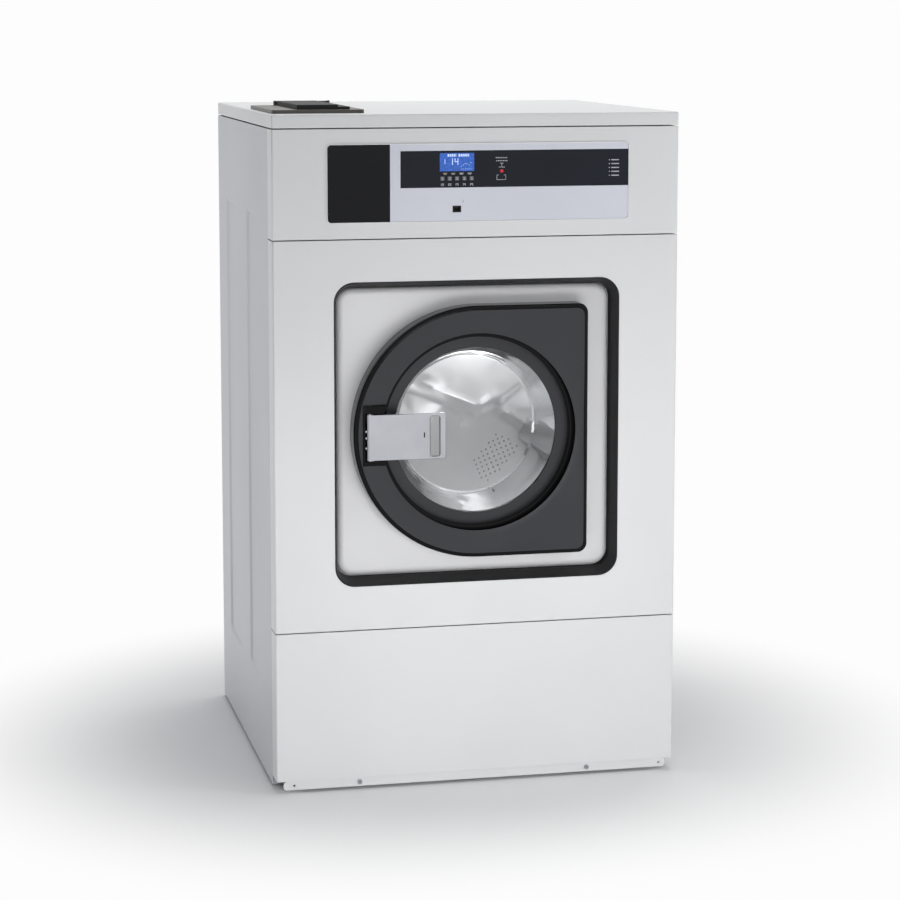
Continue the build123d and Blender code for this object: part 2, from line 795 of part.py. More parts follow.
# Handle: housing in the door, pull lever on an upright pin
lever_inset = 13.5
lever_length = 125.9
lever_margin_low = 9.0
lever_margin_high = 15.0
lever_x = (housing_x[0] + lever_inset, housing_x[0] + lever_inset + lever_length)
lever_z = (housing_z[0] + lever_margin_low, housing_z[1] - lever_margin_high)
lever_thickness = 3.0
lever_pin_inset = 12.0
lever_pin_x = housing_x[0] + lever_pin_inset
lever_pin_depth = -7.0
lever_pin_r = 3.0
lever_barrel_r = 6.0
lever_web = 3.0
lever_gap = 1.5
slot_width = 18.0
pull_width = 9.4
slot_x = (lever_x[1] - pull_width - slot_width, lever_x[1] - pull_width)
slot_margin = 4.0
slot_r = 5.0
pull_depth = 9.0
lever_front = -handle_reach
lever_back = lever_front + lever_thickness

with BuildPart() as handle_housing:
    block(housing_x, (housing_front, housing_floor), (housing_z[0] + clear, housing_z[1] - clear))
    fillet(faces().sort_by(Axis.Y)[0].edges().filter_by(Axis.Z).sort_by(Axis.X)[0], radius=housing_wall / 2)
    block(
        (housing_x[0] + housing_wall, housing_x[1] + overrun),
        (housing_front - overrun, housing_floor - housing_wall),
        (lever_z[0] - lever_gap, lever_z[1] + lever_gap),
        mode=Mode.SUBTRACT,
    )
    upright(lever_pin_x, lever_pin_depth, lever_pin_r + run_fit, housing_z, mode=Mode.SUBTRACT)
    bar(0, drum_z, throat_r - 2 * clear, (door_front - overrun, housing_floor + overrun), mode=Mode.SUBTRACT)
handle_housing.part.label = "handle_housing"
export_step(handle_housing.part, "parts/handle_housing.step")

with BuildPart() as handle_lever:
    block(lever_x, (lever_front, lever_back), lever_z)
    block((slot_x[1], lever_x[1]), (lever_front, lever_front + pull_depth), lever_z)
    fillet(edges().filter_by(Axis.Y).group_by(Axis.X)[-1], radius=lever_thickness)
    fillet(edges().filter_by(Axis.Z).group_by(Axis.X)[-1], radius=lever_thickness / 2)
    block((lever_pin_x - lever_web, lever_x[0] + lever_web), (lever_front, lever_pin_depth), lever_z)
    upright(lever_pin_x, lever_pin_depth, lever_barrel_r, lever_z)
    with BuildSketch(front_plane(lever_back + overrun)):
        with Locations((sum(slot_x) / 2, sum(lever_z) / 2)):
            RectangleRounded(slot_x[1] - slot_x[0], lever_z[1] - lever_z[0] - 2 * slot_margin, slot_r)
    extrude(amount=lever_thickness + 2 * overrun, mode=Mode.SUBTRACT)
    upright(
        lever_pin_x,
        lever_pin_depth,
        lever_pin_r + run_fit,
        (lever_z[0] - overrun, lever_z[1] + overrun),
        mode=Mode.SUBTRACT,
    )
handle_lever.part.label = "handle_lever"
export_step(handle_lever.part, "parts/handle_lever.step")

with BuildPart() as door_pins:
    for ear_z in ear_heights:
        upright(hinge_x, hinge_depth, hinge_pin_r, (ear_z - pin_length / 2, ear_z + pin_length / 2))
    upright(lever_pin_x, lever_pin_depth, lever_pin_r, (housing_z[0] + clear, housing_z[1] - clear))
door_pins.part.label = "door_pins"
export_step(door_pins.part, "parts/door_pins.step")

with BuildPart() as latch_bolt:
    cross_bar(latch_depth, latch_z, latch_r, latch_x)
    chamfer(faces().sort_by(Axis.X)[0].edges(), length=latch_chamfer)
latch_bolt.part.label = "latch_bolt"
export_step(latch_bolt.part, "parts/latch_bolt.step")

# Door lock behind the surround, with the pocket that takes the bolt
lock_width = 32.0
lock_height = 70.0
lock_depth = 17.5
lock_mouth = 2.0

with BuildPart() as door_lock:
    lock_right = -door_bore_r - lock_mouth
    block(
        (lock_right - lock_width, lock_right),
        (surround_sheet_back, surround_sheet_back + lock_depth),
        (latch_z - lock_height / 2, latch_z + lock_height / 2),
    )
    pocket_x = (lock_right - lock_width / 2, lock_right + overrun)
    cross_bar(latch_depth, latch_z, latch_r + lock_mouth, pocket_x, mode=Mode.SUBTRACT)
door_lock.part.label = "door_lock"
export_step(door_lock.part, "parts/door_lock.step")

# Tub: stainless shell with sump and inlet spigot, front plate, thick back plate
tub_back_depth = tub_front_depth + tub_length
tub_back_wall = 6.0
inlet_top = 850.0
sump_r = 38.0
sump_depth = 300.0
sump_bottom = 272.0
tub_bore_margin = 3.5
tub_bore_r = door_bore_r + tub_bore_margin
collar = 8.0

with BuildPart() as tub_shell:
    bar(0, drum_z, tub_r, (tub_front_depth, tub_back_depth))
    bar(0, drum_z, tub_r + tub_flange, (tub_front_depth, tub_front_depth + tub_wall))
    bar(0, drum_z, tub_r + tub_flange, (tub_back_depth - tub_wall, tub_back_depth))
    upright(spigot_x, spigot_depth, spigot_r, (drum_z, inlet_top))
    upright(0, sump_depth, sump_r, (sump_bottom, drum_z))
    upright(spigot_x, spigot_depth, spigot_r - spigot_wall, (drum_z, inlet_top + overrun), mode=Mode.SUBTRACT)
    upright(0, sump_depth, sump_r - tub_wall, (sump_bottom - overrun, drum_z), mode=Mode.SUBTRACT)
    bar(
        0,
        drum_z,
        tub_r - tub_wall,
        (tub_front_depth - overrun, tub_back_depth + overrun),
        mode=Mode.SUBTRACT,
    )
tub_shell.part.label = "tub_shell"
export_step(tub_shell.part, "parts/tub_shell.step")

with BuildPart() as tub_front:
    front_profile = [
        (tub_front_depth - tub_wall, tub_r + tub_flange),
        (tub_front_depth, tub_r + tub_flange),
        (tub_front_depth, tub_bore_r),
        (tub_front_depth - collar, tub_bore_r),
        (tub_front_depth - collar, tub_bore_r + tub_wall),
        (tub_front_depth - tub_wall, tub_bore_r + tub_wall),
    ]
    revolve(turned(front_profile), axis=drum_axis)
tub_front.part.label = "tub_front"
export_step(tub_front.part, "parts/tub_front.step")

# Bearing housing and bearings behind the tub
shaft_r = 20.0
shaft_rear_r = 15.0
front_bearing_r = 45.0
front_bearing_width = 23.0
rear_bearing_r = 36.0
rear_bearing_width = 19.0
housing_r = 58.0
housing_flange_r = 112.0
housing_flange_width = 12.0
housing_length = 86.0
bearing_lip = 4.0
shaft_gap = 2.0
flange_bolts = 8
flange_bolt_r = 5.0
bearing_front = tub_back_depth + tub_back_wall
bearing_back = bearing_front + housing_length
rear_bearing_front = bearing_back - bearing_lip - rear_bearing_width

with BuildPart() as tub_back:
    bar(0, drum_z, tub_r + tub_flange, (tub_back_depth, bearing_front))
    through = (tub_back_depth - overrun, bearing_front + overrun)
    bar(0, drum_z, shaft_r + shaft_gap, through, mode=Mode.SUBTRACT)
tub_back.part.label = "tub_back"
export_step(tub_back.part, "parts/tub_back.step")

with BuildPart() as bearing_housing:
    body_profile = [
        (bearing_front, shaft_r + shaft_gap),
        (bearing_front, housing_flange_r),
        (bearing_front + housing_flange_width, housing_flange_r),
        (bearing_front + 2 * housing_flange_width, housing_r),
        (bearing_back, housing_r),
        (bearing_back, shaft_rear_r + shaft_gap),
        (bearing_back - bearing_lip, shaft_rear_r + shaft_gap),
        (bearing_back - bearing_lip, rear_bearing_r),
        (rear_bearing_front, rear_bearing_r),
        (rear_bearing_front, shaft_r + shaft_gap),
        (bearing_front + bearing_lip + front_bearing_width, shaft_r + shaft_gap),
        (bearing_front + bearing_lip + front_bearing_width, front_bearing_r),
        (bearing_front + bearing_lip, front_bearing_r),
        (bearing_front + bearing_lip, shaft_r + shaft_gap),
    ]
    revolve(turned(body_profile), axis=drum_axis)
    with BuildSketch(front_plane(bearing_front + 2 * housing_flange_width)):
        with Locations((0, drum_z)):
            with PolarLocations((housing_flange_r + housing_r) / 2, flange_bolts):
                Circle(flange_bolt_r)
    extrude(amount=2 * housing_flange_width, mode=Mode.SUBTRACT)
bearing_housing.part.label = "bearing_housing"
export_step(bearing_housing.part, "parts/bearing_housing.step")

with BuildPart() as shaft_bearings:
    for radius, bore, front, width in (
        (front_bearing_r, shaft_r, bearing_front + bearing_lip, front_bearing_width),
        (rear_bearing_r, shaft_rear_r, rear_bearing_front, rear_bearing_width),
    ):
        ring = [
            (front, bore + run_fit),
            (front, radius),
            (front + width, radius),
            (front + width, bore + run_fit),
        ]
        revolve(turned(ring), axis=drum_axis)
shaft_bearings.part.label = "shaft_bearings"
export_step(shaft_bearings.part, "parts/shaft_bearings.step")

# Door gasket between the surround and the tub's collar
gasket_inset = 5.0
gasket_r = door_bore_r - gasket_inset
gasket_wall = 4.0
gasket_lip = 12.0

with BuildPart() as door_gasket:
    gasket_end = tub_front_depth - collar
    gasket_profile = [
        (surround_sheet_back, door_bore_r - clear),
        (surround_sheet_back, door_bore_r + gasket_lip),
        (surround_sheet_back + gasket_wall, door_bore_r + gasket_lip),
        (surround_sheet_back + gasket_wall, door_bore_r + gasket_wall),
        (gasket_end - gasket_wall, gasket_r + gasket_wall),
        (gasket_end - gasket_wall, tub_bore_r + gasket_wall),
        (gasket_end, tub_bore_r + gasket_wall),
        (gasket_end, gasket_r),
        (gasket_end - 2 * gasket_wall, gasket_r),
    ]
    revolve(turned(gasket_profile), axis=drum_axis)
    block(
        (-door_bore_r - 2 * gasket_lip, -plug_r - clear),
        (surround_sheet_back - overrun, gasket_end - gasket_wall),
        (latch_z - lock_height / 2 - clear, latch_z + lock_height / 2 + clear),
        mode=Mode.SUBTRACT,
    )
door_gasket.part.label = "door_gasket"
export_step(door_gasket.part, "parts/door_gasket.step")

# Tub supports: four legs between the base frame and the tub
leg_inner_x = 100.0
leg_inset = 4.0
leg_lean = 20.0
leg_foot_x = base_x - leg_inset
leg_outer_x = leg_foot_x - leg_lean
leg_thickness = 6.0
leg_depths = (110.0, 330.0)
leg_drop = 60.0
leg_top = drum_z - leg_drop
leg_foot_height = 20.0
leg_foot = 24.0

with BuildPart() as tub_supports:
    for leg_depth in leg_depths:
        with BuildSketch(front_plane(leg_depth + leg_thickness)):
            for side in (-1, 1):
                with BuildLine():
                    Polyline(
                        (side * leg_inner_x, base_height),
                        (side * leg_foot_x, base_height),
                        (side * leg_foot_x, base_height + leg_foot_height),
                        (side * leg_outer_x, leg_top),
                        (side * leg_inner_x, leg_top),
                        close=True,
                    )
                make_face()
            with Locations((0, drum_z)):
                Circle(tub_r + clear, mode=Mode.SUBTRACT)
        extrude(amount=leg_thickness)
        for side in (-1, 1):
            foot = sorted((side * leg_inner_x, side * leg_foot_x))
            block(foot, (leg_depth, leg_depth + leg_foot), (base_height, base_height + leg_thickness))
tub_supports.part.label = "tub_supports"
export_step(tub_supports.part, "parts/tub_supports.step")

# Drum: perforated shell, mouth ring, pressed back, lifters, spider
drum_wall = 1.5
drum_back_depth = drum_front + drum_length
drum_inner_r = drum_r - drum_wall
mouth_margin = 88.0
drum_mouth_r = drum_r - mouth_margin
drum_lip = 14.0
hole_rows = 7
holes_around = 20
drum_hole_r = 5.0
row_margin = 40.0
arms = 3
arm_angle = 40.0
star_hub_r = 62.0
star_half_width = 46.0
star_tip_half_width = 30.0
star_rise = 14.0
star_taper = 35.0
lifter_base_half = 55.0
lifter_tip_half = 20.0
lifter_height = 62.0
lifter_sheet = 2.0
spider_gap = 3.0
spider_thickness = 18.0
spider_half_width = 36.0
spider_tip_half_width = 24.0
spider_hub_r = 60.0


def spun(points, angle):
    """(radius, sideways) points turned about the drum's axis."""
    turn = radians(angle)
    return [
        (along * cos(turn) - side * sin(turn), drum_z + along * sin(turn) + side * cos(turn))
        for along, side in points
    ]


def spoke_angles(shift=0):
    """Angle of each arm, moved on by a share of the step."""
    return [arm_angle + (arm + shift) * 360 / arms for arm in range(arms)]


def star(depth, inset):
    """Hub with three tapered arms, drawn in by an inset."""
    reach = drum_inner_r - star_rise - inset
    half = star_half_width - inset
    tip = star_tip_half_width - inset
    with BuildSketch(front_plane(depth)) as outline:
        with Locations((0, drum_z)):
            Circle(star_hub_r - inset)
        for angle in spoke_angles():
            with BuildLine():
                Polyline(spun([(0, -half), (reach, -tip), (reach, tip), (0, half)], angle), close=True)
            make_face()
    return outline.sketch


with BuildPart() as drum_shell:
    bar(0, drum_z, drum_r, (drum_front, drum_back_depth))
    bar(0, drum_z, drum_inner_r, (drum_front - overrun, drum_back_depth + overrun), mode=Mode.SUBTRACT)
    row_step = (drum_length - 2 * row_margin) / (hole_rows - 1)
    hole_places = [
        Location((0, front_y + drum_front + row_margin + row * row_step, drum_z))
        * Rotation(0, 360 / holes_around * (place + row % 2 / 2), 0)
        for row in range(hole_rows)
        for place in range(holes_around // 2)
    ]
    with Locations(hole_places):
        Cylinder(drum_hole_r, 2 * (drum_r + overrun), mode=Mode.SUBTRACT)
drum_shell.part.label = "drum_shell"
export_step(drum_shell.part, "parts/drum_shell.step")

with BuildPart() as drum_mouth:
    half_lip = drum_lip / 2
    mouth_profile = [
        (drum_front, drum_inner_r - clear),
        (drum_front, drum_mouth_r + half_lip),
        (drum_front + half_lip, drum_mouth_r),
        (drum_front + drum_lip, drum_mouth_r),
        (drum_front + drum_lip, drum_mouth_r + drum_wall),
        (drum_front + half_lip + drum_wall / 2, drum_mouth_r + drum_wall),
        (drum_front + drum_wall, drum_mouth_r + half_lip + drum_wall / 2),
        (drum_front + drum_wall, drum_inner_r - clear),
    ]
    revolve(turned(mouth_profile), axis=drum_axis)
drum_mouth.part.label = "drum_mouth"
export_step(drum_mouth.part, "parts/drum_mouth.step")

with BuildPart() as drum_back:
    bar(0, drum_z, drum_inner_r - clear, (drum_back_depth - drum_wall, drum_back_depth))
    extrude(star(drum_back_depth, 0), amount=star_rise + drum_wall, taper=star_taper)
    extrude(star(drum_back_depth, drum_wall), amount=star_rise, taper=star_taper, mode=Mode.SUBTRACT)
drum_back.part.label = "drum_back"
export_step(drum_back.part, "parts/drum_back.step")

lifter_front = drum_front + drum_lip + clear
lifter_back = drum_back_depth - drum_wall
lifter_inner_r = drum_inner_r - lifter_height


def lifter_outline(depth, inset):
    """Tapered ribs on the drum wall, drawn in by an inset."""
    with BuildSketch(front_plane(depth)) as outline:
        for angle in spoke_angles(1 / 2):
            corners = [
                (lifter_inner_r + inset, inset - lifter_tip_half),
                (drum_r, inset - lifter_base_half),
                (drum_r, lifter_base_half - inset),
                (lifter_inner_r + inset, lifter_tip_half - inset),
            ]
            with BuildLine():
                Polyline(spun(corners, angle), close=True)
            make_face()
        with Locations((0, drum_z)):
            Circle(drum_inner_r - clear + inset, mode=Mode.INTERSECT)
    return outline.sketch


with BuildPart() as drum_lifters:
    extrude(lifter_outline(lifter_back, 0), amount=lifter_back - lifter_front)
    extrude(
        lifter_outline(lifter_back - lifter_sheet, lifter_sheet),
        amount=lifter_back - lifter_front - 2 * lifter_sheet,
        mode=Mode.SUBTRACT,
    )
drum_lifters.part.label = "drum_lifters"
export_step(drum_lifters.part, "parts/drum_lifters.step")

spider_front = drum_back_depth
spider_back = spider_front + spider_thickness

with BuildPart() as drum_spider:
    with BuildSketch(front_plane(spider_back)):
        with Locations((0, drum_z)):
            Circle(spider_hub_r)
        for angle in spoke_angles(1 / 2):
            reach = drum_inner_r - spider_gap
            with BuildLine():
                corners = [
                    (0, -spider_half_width),
                    (reach, -spider_tip_half_width),
                    (reach, spider_tip_half_width),
                    (0, spider_half_width),
                ]
                Polyline(spun(corners, angle), close=True)
            make_face()
    extrude(amount=spider_thickness)
    bar(0, drum_z, shaft_r + clear, (spider_front - overrun, spider_back + overrun), mode=Mode.SUBTRACT)
drum_spider.part.label = "drum_spider"
export_step(drum_spider.part, "parts/drum_spider.step")

# Shaft with a front head, a bearing step and a threaded end for the pulley
shaft_head_r = 30.0
shaft_head = 4.0
pulley_front = pulley_plane - pulley_width / 2
pulley_back = pulley_plane + pulley_width / 2
nut_r = 18.0
nut_height = 9.0
washer_r = 26.0
washer_height = 3.0

with BuildPart() as drum_shaft:
    bar(0, drum_z, shaft_head_r, (spider_front - shaft_head, spider_front))
    bar(0, drum_z, shaft_r, (spider_front, rear_bearing_front))
    bar(0, drum_z, shaft_rear_r, (rear_bearing_front, pulley_back))
    bar(0, drum_z, washer_r, (pulley_back, pulley_back + washer_height))
    with BuildSketch(front_plane(pulley_back + washer_height)):
        with Locations((0, drum_z)):
            RegularPolygon(nut_r, 6)
    extrude(amount=-nut_height)
drum_shaft.part.label = "drum_shaft"
export_step(drum_shaft.part, "parts/drum_shaft.step")

# Drum pulley: rim, web with round holes, hub
rim_wall = 10.0
web_half = 4.0
pulley_hub_r = 42.0
web_holes = 6
web_hole_r = 42.0

with BuildPart() as drum_pulley:
    bar(0, drum_z, drum_pulley_r, (pulley_front, pulley_back))
    for face_span in ((pulley_front, pulley_plane - web_half), (pulley_plane + web_half, pulley_back)):
        with BuildSketch(front_plane(face_span[1])):
            with Locations((0, drum_z)):
                Circle(drum_pulley_r - rim_wall)
                Circle(pulley_hub_r, mode=Mode.SUBTRACT)
        extrude(amount=face_span[1] - face_span[0], mode=Mode.SUBTRACT)
    with BuildSketch(front_plane(pulley_back)):
        with Locations((0, drum_z)):
            with PolarLocations((drum_pulley_r - rim_wall + pulley_hub_r) / 2, web_holes):
                Circle(web_hole_r)
            Circle(shaft_rear_r + clear)
    extrude(amount=pulley_width, mode=Mode.SUBTRACT)
drum_pulley.part.label = "drum_pulley"
export_step(drum_pulley.part, "parts/drum_pulley.step")

# Motor: finned body with end bells, terminal box and feet
motor_r = 75.0
motor_front = 405.0
motor_back = 580.0
bell_length = 22.0
bell_r = 68.0
fin_count = 20
fin_height = 5.0
fin_half = 1.5
motor_box = 44.0
motor_box_height = 30.0
motor_foot_half = 70.0
motor_shaft_r = 12.0
motor_shaft_front = motor_back - bell_length

with BuildPart() as motor_body:
    bar(motor_x, motor_z, motor_r - fin_height, (motor_front + bell_length, motor_back - bell_length))
    bar(motor_x, motor_z, bell_r, (motor_front, motor_back))
    with BuildSketch(front_plane(motor_back - bell_length)):
        with Locations((motor_x, motor_z)):
            with PolarLocations(motor_r - fin_height, fin_count):
                Rectangle(2 * fin_height, 2 * fin_half)
    extrude(amount=motor_back - motor_front - 2 * bell_length)
    block(
        (motor_x - motor_box, motor_x + motor_box),
        (motor_front + bell_length, motor_front + bell_length + 2 * motor_box),
        (motor_z, motor_z + motor_r + motor_box_height),
    )
    for foot_depth in (motor_front, motor_back - bell_length):
        block(
            (motor_x - motor_foot_half, motor_x + motor_foot_half),
            (foot_depth, foot_depth + bell_length),
            (base_height, motor_z - bell_r / 2),
        )
    bar(
        motor_x,
        motor_z,
        motor_shaft_r + run_fit,
        (motor_shaft_front, motor_back + overrun),
        mode=Mode.SUBTRACT,
    )
motor_body.part.label = "motor_body"
export_step(motor_body.part, "parts/motor_body.step")

motor_grooves = 4
groove_depth = 2.0

with BuildPart() as motor_rotor:
    bar(motor_x, motor_z, motor_pulley_r, (pulley_front, pulley_back))
    groove_pitch = pulley_width / (motor_grooves + 1)
    for groove in range(motor_grooves):
        middle = pulley_front + (groove + 1) * groove_pitch
        with BuildSketch(front_plane(middle)):
            with Locations((motor_x, motor_z)):
                Circle(motor_pulley_r + overrun)
                Circle(motor_pulley_r - groove_depth, mode=Mode.SUBTRACT)
        extrude(amount=groove_pitch / 2, mode=Mode.SUBTRACT)
    bar(motor_x, motor_z, motor_shaft_r, (motor_shaft_front, pulley_back))
motor_rotor.part.label = "motor_rotor"
export_step(motor_rotor.part, "parts/motor_rotor.step")

# Belt round both pulleys
belt_thickness = 5.0
belt_width = 20.0


def belt_loop(grow):
    """Outline that wraps both pulleys at a distance from their faces."""
    with BuildSketch(front_plane(pulley_plane + belt_width / 2)) as outline:
        with BuildSketch(mode=Mode.PRIVATE) as wheels:
            with Locations((0, drum_z)):
                Circle(drum_pulley_r + grow)
            with Locations((motor_x, motor_z)):
                Circle(motor_pulley_r + grow)
        make_hull(wheels.sketch.edges())
    return outline.sketch


with BuildPart() as drive_belt:
    extrude(belt_loop(clear + belt_thickness), amount=belt_width)
    extrude(belt_loop(clear), amount=belt_width, mode=Mode.SUBTRACT)
drive_belt.part.label = "drive_belt"
export_step(drive_belt.part, "parts/drive_belt.step")

# Inverter box on the left post side, with cooling ribs
inverter_margin = 6.0
inverter_width = 50.0
inverter_back_margin = 56.0
inverter_length = 160.0
inverter_height = 240.0
inverter_x = (inverter_margin - base_x, inverter_margin + inverter_width - base_x)
inverter_depth = (base_back - inverter_back_margin - inverter_length, base_back - inverter_back_margin)
inverter_z = (base_height, base_height + inverter_height)
inverter_ribs = 9
inverter_rib = 2.0
inverter_rib_reach = 8.0

with BuildPart() as inverter_box:
    block(inverter_x, inverter_depth, inverter_z)
    rib_step = (inverter_depth[1] - inverter_depth[0]) / inverter_ribs
    for rib in range(inverter_ribs):
        near = inverter_depth[0] + (rib + 1 / 2) * rib_step
        block(
            (inverter_x[1], inverter_x[1] + inverter_rib_reach),
            (near - inverter_rib / 2, near + inverter_rib / 2),
            (inverter_z[0] + inverter_rib_reach, inverter_z[1] - inverter_rib_reach),
        )
inverter_box.part.label = "inverter_box"
export_step(inverter_box.part, "parts/inverter_box.step")

# Heating elements: three hairpins low in the tub, held by the tub's back
heater_r = 4.25
heater_places = ((-76.0, -52.0), (52.0, 76.0))
heater_circle = (tub_r - tub_wall + drum_r) / 2
heater_front = 110.0

with BuildPart() as heating_elements:
    for pair in heater_places:
        heights = [drum_z - sqrt(heater_circle**2 - place**2) for place in pair]
        for place, height in zip(pair, heights):
            bar(place, height, heater_r, (heater_front, tub_back_depth - clear))
        block(
            (pair[0] - heater_r / 2, pair[1] + heater_r / 2),
            (heater_front, heater_front + 2 * heater_r),
            (min(heights) - heater_r / 2, max(heights) + heater_r / 2),
        )
heating_elements.part.label = "heating_elements"
export_step(heating_elements.part, "parts/heating_elements.step")

# Fill hose between the hopper and the tub
hose_wall = 4.0
hose_overlap = 20.0
hose_end_gap = 5.0
hose_bottom = inlet_top - hose_overlap
hose_top = hopper_box_bottom - hose_end_gap
hose_r = spigot_r + clear + hose_wall

with BuildPart() as fill_hose:
    upright(spigot_x, spigot_depth, hose_r, (hose_bottom, hose_top))
    hose_bore = (hose_bottom - overrun, hose_top + overrun)
    upright(spigot_x, spigot_depth, spigot_r + clear, hose_bore, mode=Mode.SUBTRACT)
fill_hose.part.label = "fill_hose"
export_step(fill_hose.part, "parts/fill_hose.step")

# Drain: valve under the sump and the pipe out at the rear
drain_z = 165.0
drain_r = 38.5
drain_stub_r = 37.5
drain_shoulder = 2.0
drain_wall = 2.5
drain_pipe_back = cabinet_depth + rear_reach
valve_half = 46.0
valve_top = sump_bottom - clear
valve_bottom = 118.0
valve_motor_r = 24.0
valve_motor_length = 60.0
valve_neck_r = sump_r + clear + drain_wall

with BuildPart() as drain_valve:
    block(
        (-valve_half, valve_half),
        (sump_depth - valve_half, sump_depth + valve_half),
        (valve_bottom, valve_top - valve_half / 2),
    )
    upright(0, sump_depth, valve_neck_r, (valve_top - valve_half / 2, valve_top + hose_overlap))
    cross_bar(sump_depth, drain_z, valve_motor_r, (valve_half, valve_half + valve_motor_length))
    socket_z = (valve_top, valve_top + hose_overlap + overrun)
    upright(0, sump_depth, sump_r + clear, socket_z, mode=Mode.SUBTRACT)
    upright(0, sump_depth, sump_r - drain_wall, (drain_z, valve_top + overrun), mode=Mode.SUBTRACT)
    outlet = (sump_depth, sump_depth + valve_half + overrun)
    bar(0, drain_z, drain_stub_r - drain_wall, outlet, mode=Mode.SUBTRACT)
drain_valve.part.label = "drain_valve"
export_step(drain_valve.part, "parts/drain_valve.step")

with BuildPart() as drain_pipe:
    bar(0, drain_z, drain_r, (sump_depth + valve_half, cabinet_depth + drain_shoulder))
    bar(0, drain_z, drain_stub_r, (cabinet_depth, drain_pipe_back))
    bar(0, drain_z, drain_stub_r - drain_wall, (sump_depth, drain_pipe_back + overrun), mode=Mode.SUBTRACT)
drain_pipe.part.label = "drain_pipe"
export_step(drain_pipe.part, "parts/drain_pipe.step")

# Rear panels: folded sheets between the side panels
rear_bottom_height = 223.0
rear_top_height = 250.0
rear_half_x = half_width - sheet - clear
rear_bottom_top = lip_gap + rear_bottom_height
rear_cover_bottom = rear_bottom_top + seam
rear_top_bottom = fascia_top - rear_top_height
rear_cover_top = rear_top_bottom - seam
drain_gap = 2.0
rear_plane_in = cabinet_depth - sheet
valve_x_places = (110.0, 190.0)
valve_z = 1040.0
nozzle_r = 13.2
nozzle_bore_r = 9.0
nozzle_length = 24.0
nozzle_gap = 1.0
gland_x = -190.0
gland_z = 1040.0
gland_thread_r = 12.5
gland_bore_r = 8.5
gland_hex_r = 17.0
gland_hex = 7.0
gland_cap_r = 14.0
gland_reach = 26.0


def rear_sheet(z_span):
    """Rear sheet with top and bottom folds back to the posts."""
    low, high = z_span
    block((-rear_half_x, rear_half_x), (rear_plane_in, cabinet_depth), z_span)
    for fold in ((low, low + sheet), (high - sheet, high)):
        block((-base_x, base_x), (base_back, cabinet_depth), fold)


def rear_hole(x, z, radius):
    """Round hole through the rear sheet."""
    bar(x, z, radius, (rear_plane_in - overrun, cabinet_depth + overrun), mode=Mode.SUBTRACT)


with BuildPart() as rear_top_panel:
    rear_sheet((rear_top_bottom, fascia_top))
    for place in valve_x_places:
        rear_hole(place, valve_z, nozzle_r + nozzle_gap)
    rear_hole(gland_x, gland_z, gland_thread_r + clear)
rear_top_panel.part.label = "rear_top_panel"
export_step(rear_top_panel.part, "parts/rear_top_panel.step")

louvre_count = 9
louvre_length = 200.0
louvre_height = 7.0
louvre_pitch = 18.0
louvre_x = 185.0

with BuildPart() as rear_cover:
    rear_sheet((rear_cover_bottom, rear_cover_top))
    with BuildSketch(front_plane(cabinet_depth + overrun)):
        for group_z in (rear_cover_bottom + louvre_x / 2, rear_cover_top - louvre_x / 2):
            with Locations((0, group_z)):
                with GridLocations(2 * louvre_x, louvre_pitch, 2, louvre_count):
                    SlotOverall(louvre_length, louvre_height)
    extrude(amount=sheet + 2 * overrun, mode=Mode.SUBTRACT)
rear_cover.part.label = "rear_cover"
export_step(rear_cover.part, "parts/rear_cover.step")

with BuildPart() as rear_bottom_panel:
    rear_sheet((lip_gap, rear_bottom_top))
    rear_hole(0, drain_z, drain_r + drain_gap)
rear_bottom_panel.part.label = "rear_bottom_panel"
export_step(rear_bottom_panel.part, "parts/rear_bottom_panel.step")

# Water inlet: two valves on a plate inside the rear panel, threaded nozzles outside
inlet_plate_margin = 34.0
inlet_plate = 3.0
inlet_body = 44.0
inlet_body_length = 50.0
coil_r = 16.0
coil_length = 46.0
thread_count = 5
thread_depth = 0.9
thread_pitch = 2.6
nozzle_back = cabinet_depth + nozzle_length

with BuildPart() as inlet_valves:
    block(
        (valve_x_places[0] - inlet_plate_margin, valve_x_places[1] + inlet_plate_margin),
        (rear_plane_in - inlet_plate, rear_plane_in),
        (valve_z - inlet_plate_margin, valve_z + inlet_plate_margin),
    )
    for place in valve_x_places:
        block(
            (place - inlet_body / 2, place + inlet_body / 2),
            (rear_plane_in - inlet_body_length, rear_plane_in),
            (valve_z - inlet_body / 2, valve_z + inlet_body / 2),
        )
        upright(place, rear_plane_in - inlet_body_length / 2, coil_r, (valve_z, valve_z + coil_length))
        bar(place, valve_z, nozzle_r, (rear_plane_in, nozzle_back))
        bar(place, valve_z, nozzle_bore_r, (rear_plane_in, nozzle_back + overrun), mode=Mode.SUBTRACT)
        for thread in range(thread_count):
            start = nozzle_back - (thread + 1) * thread_pitch
            with BuildSketch(front_plane(start + thread_pitch / 2)):
                with Locations((place, valve_z)):
                    Circle(nozzle_r + overrun)
                    Circle(nozzle_r - thread_depth, mode=Mode.SUBTRACT)
            extrude(amount=thread_pitch / 2, mode=Mode.SUBTRACT)
inlet_valves.part.label = "inlet_valves"
export_step(inlet_valves.part, "parts/inlet_valves.step")

# Cable gland through the rear panel
with BuildPart() as cable_gland:
    bar(gland_x, gland_z, gland_thread_r, (rear_plane_in - gland_hex, cabinet_depth))
    with BuildSketch(front_plane(cabinet_depth)):
        with Locations((gland_x, gland_z)):
            RegularPolygon(gland_hex_r, 6)
    extrude(amount=-gland_hex)
    bar(gland_x, gland_z, gland_cap_r, (cabinet_depth + gland_hex, cabinet_depth + gland_reach))
    fillet(faces().sort_by(Axis.Y)[-1].edges(), radius=gland_hex / 2)
    cable_way = (rear_plane_in - gland_hex - overrun, cabinet_depth + gland_reach + overrun)
    bar(gland_x, gland_z, gland_bore_r, cable_way, mode=Mode.SUBTRACT)
cable_gland.part.label = "cable_gland"
export_step(cable_gland.part, "parts/cable_gland.step")

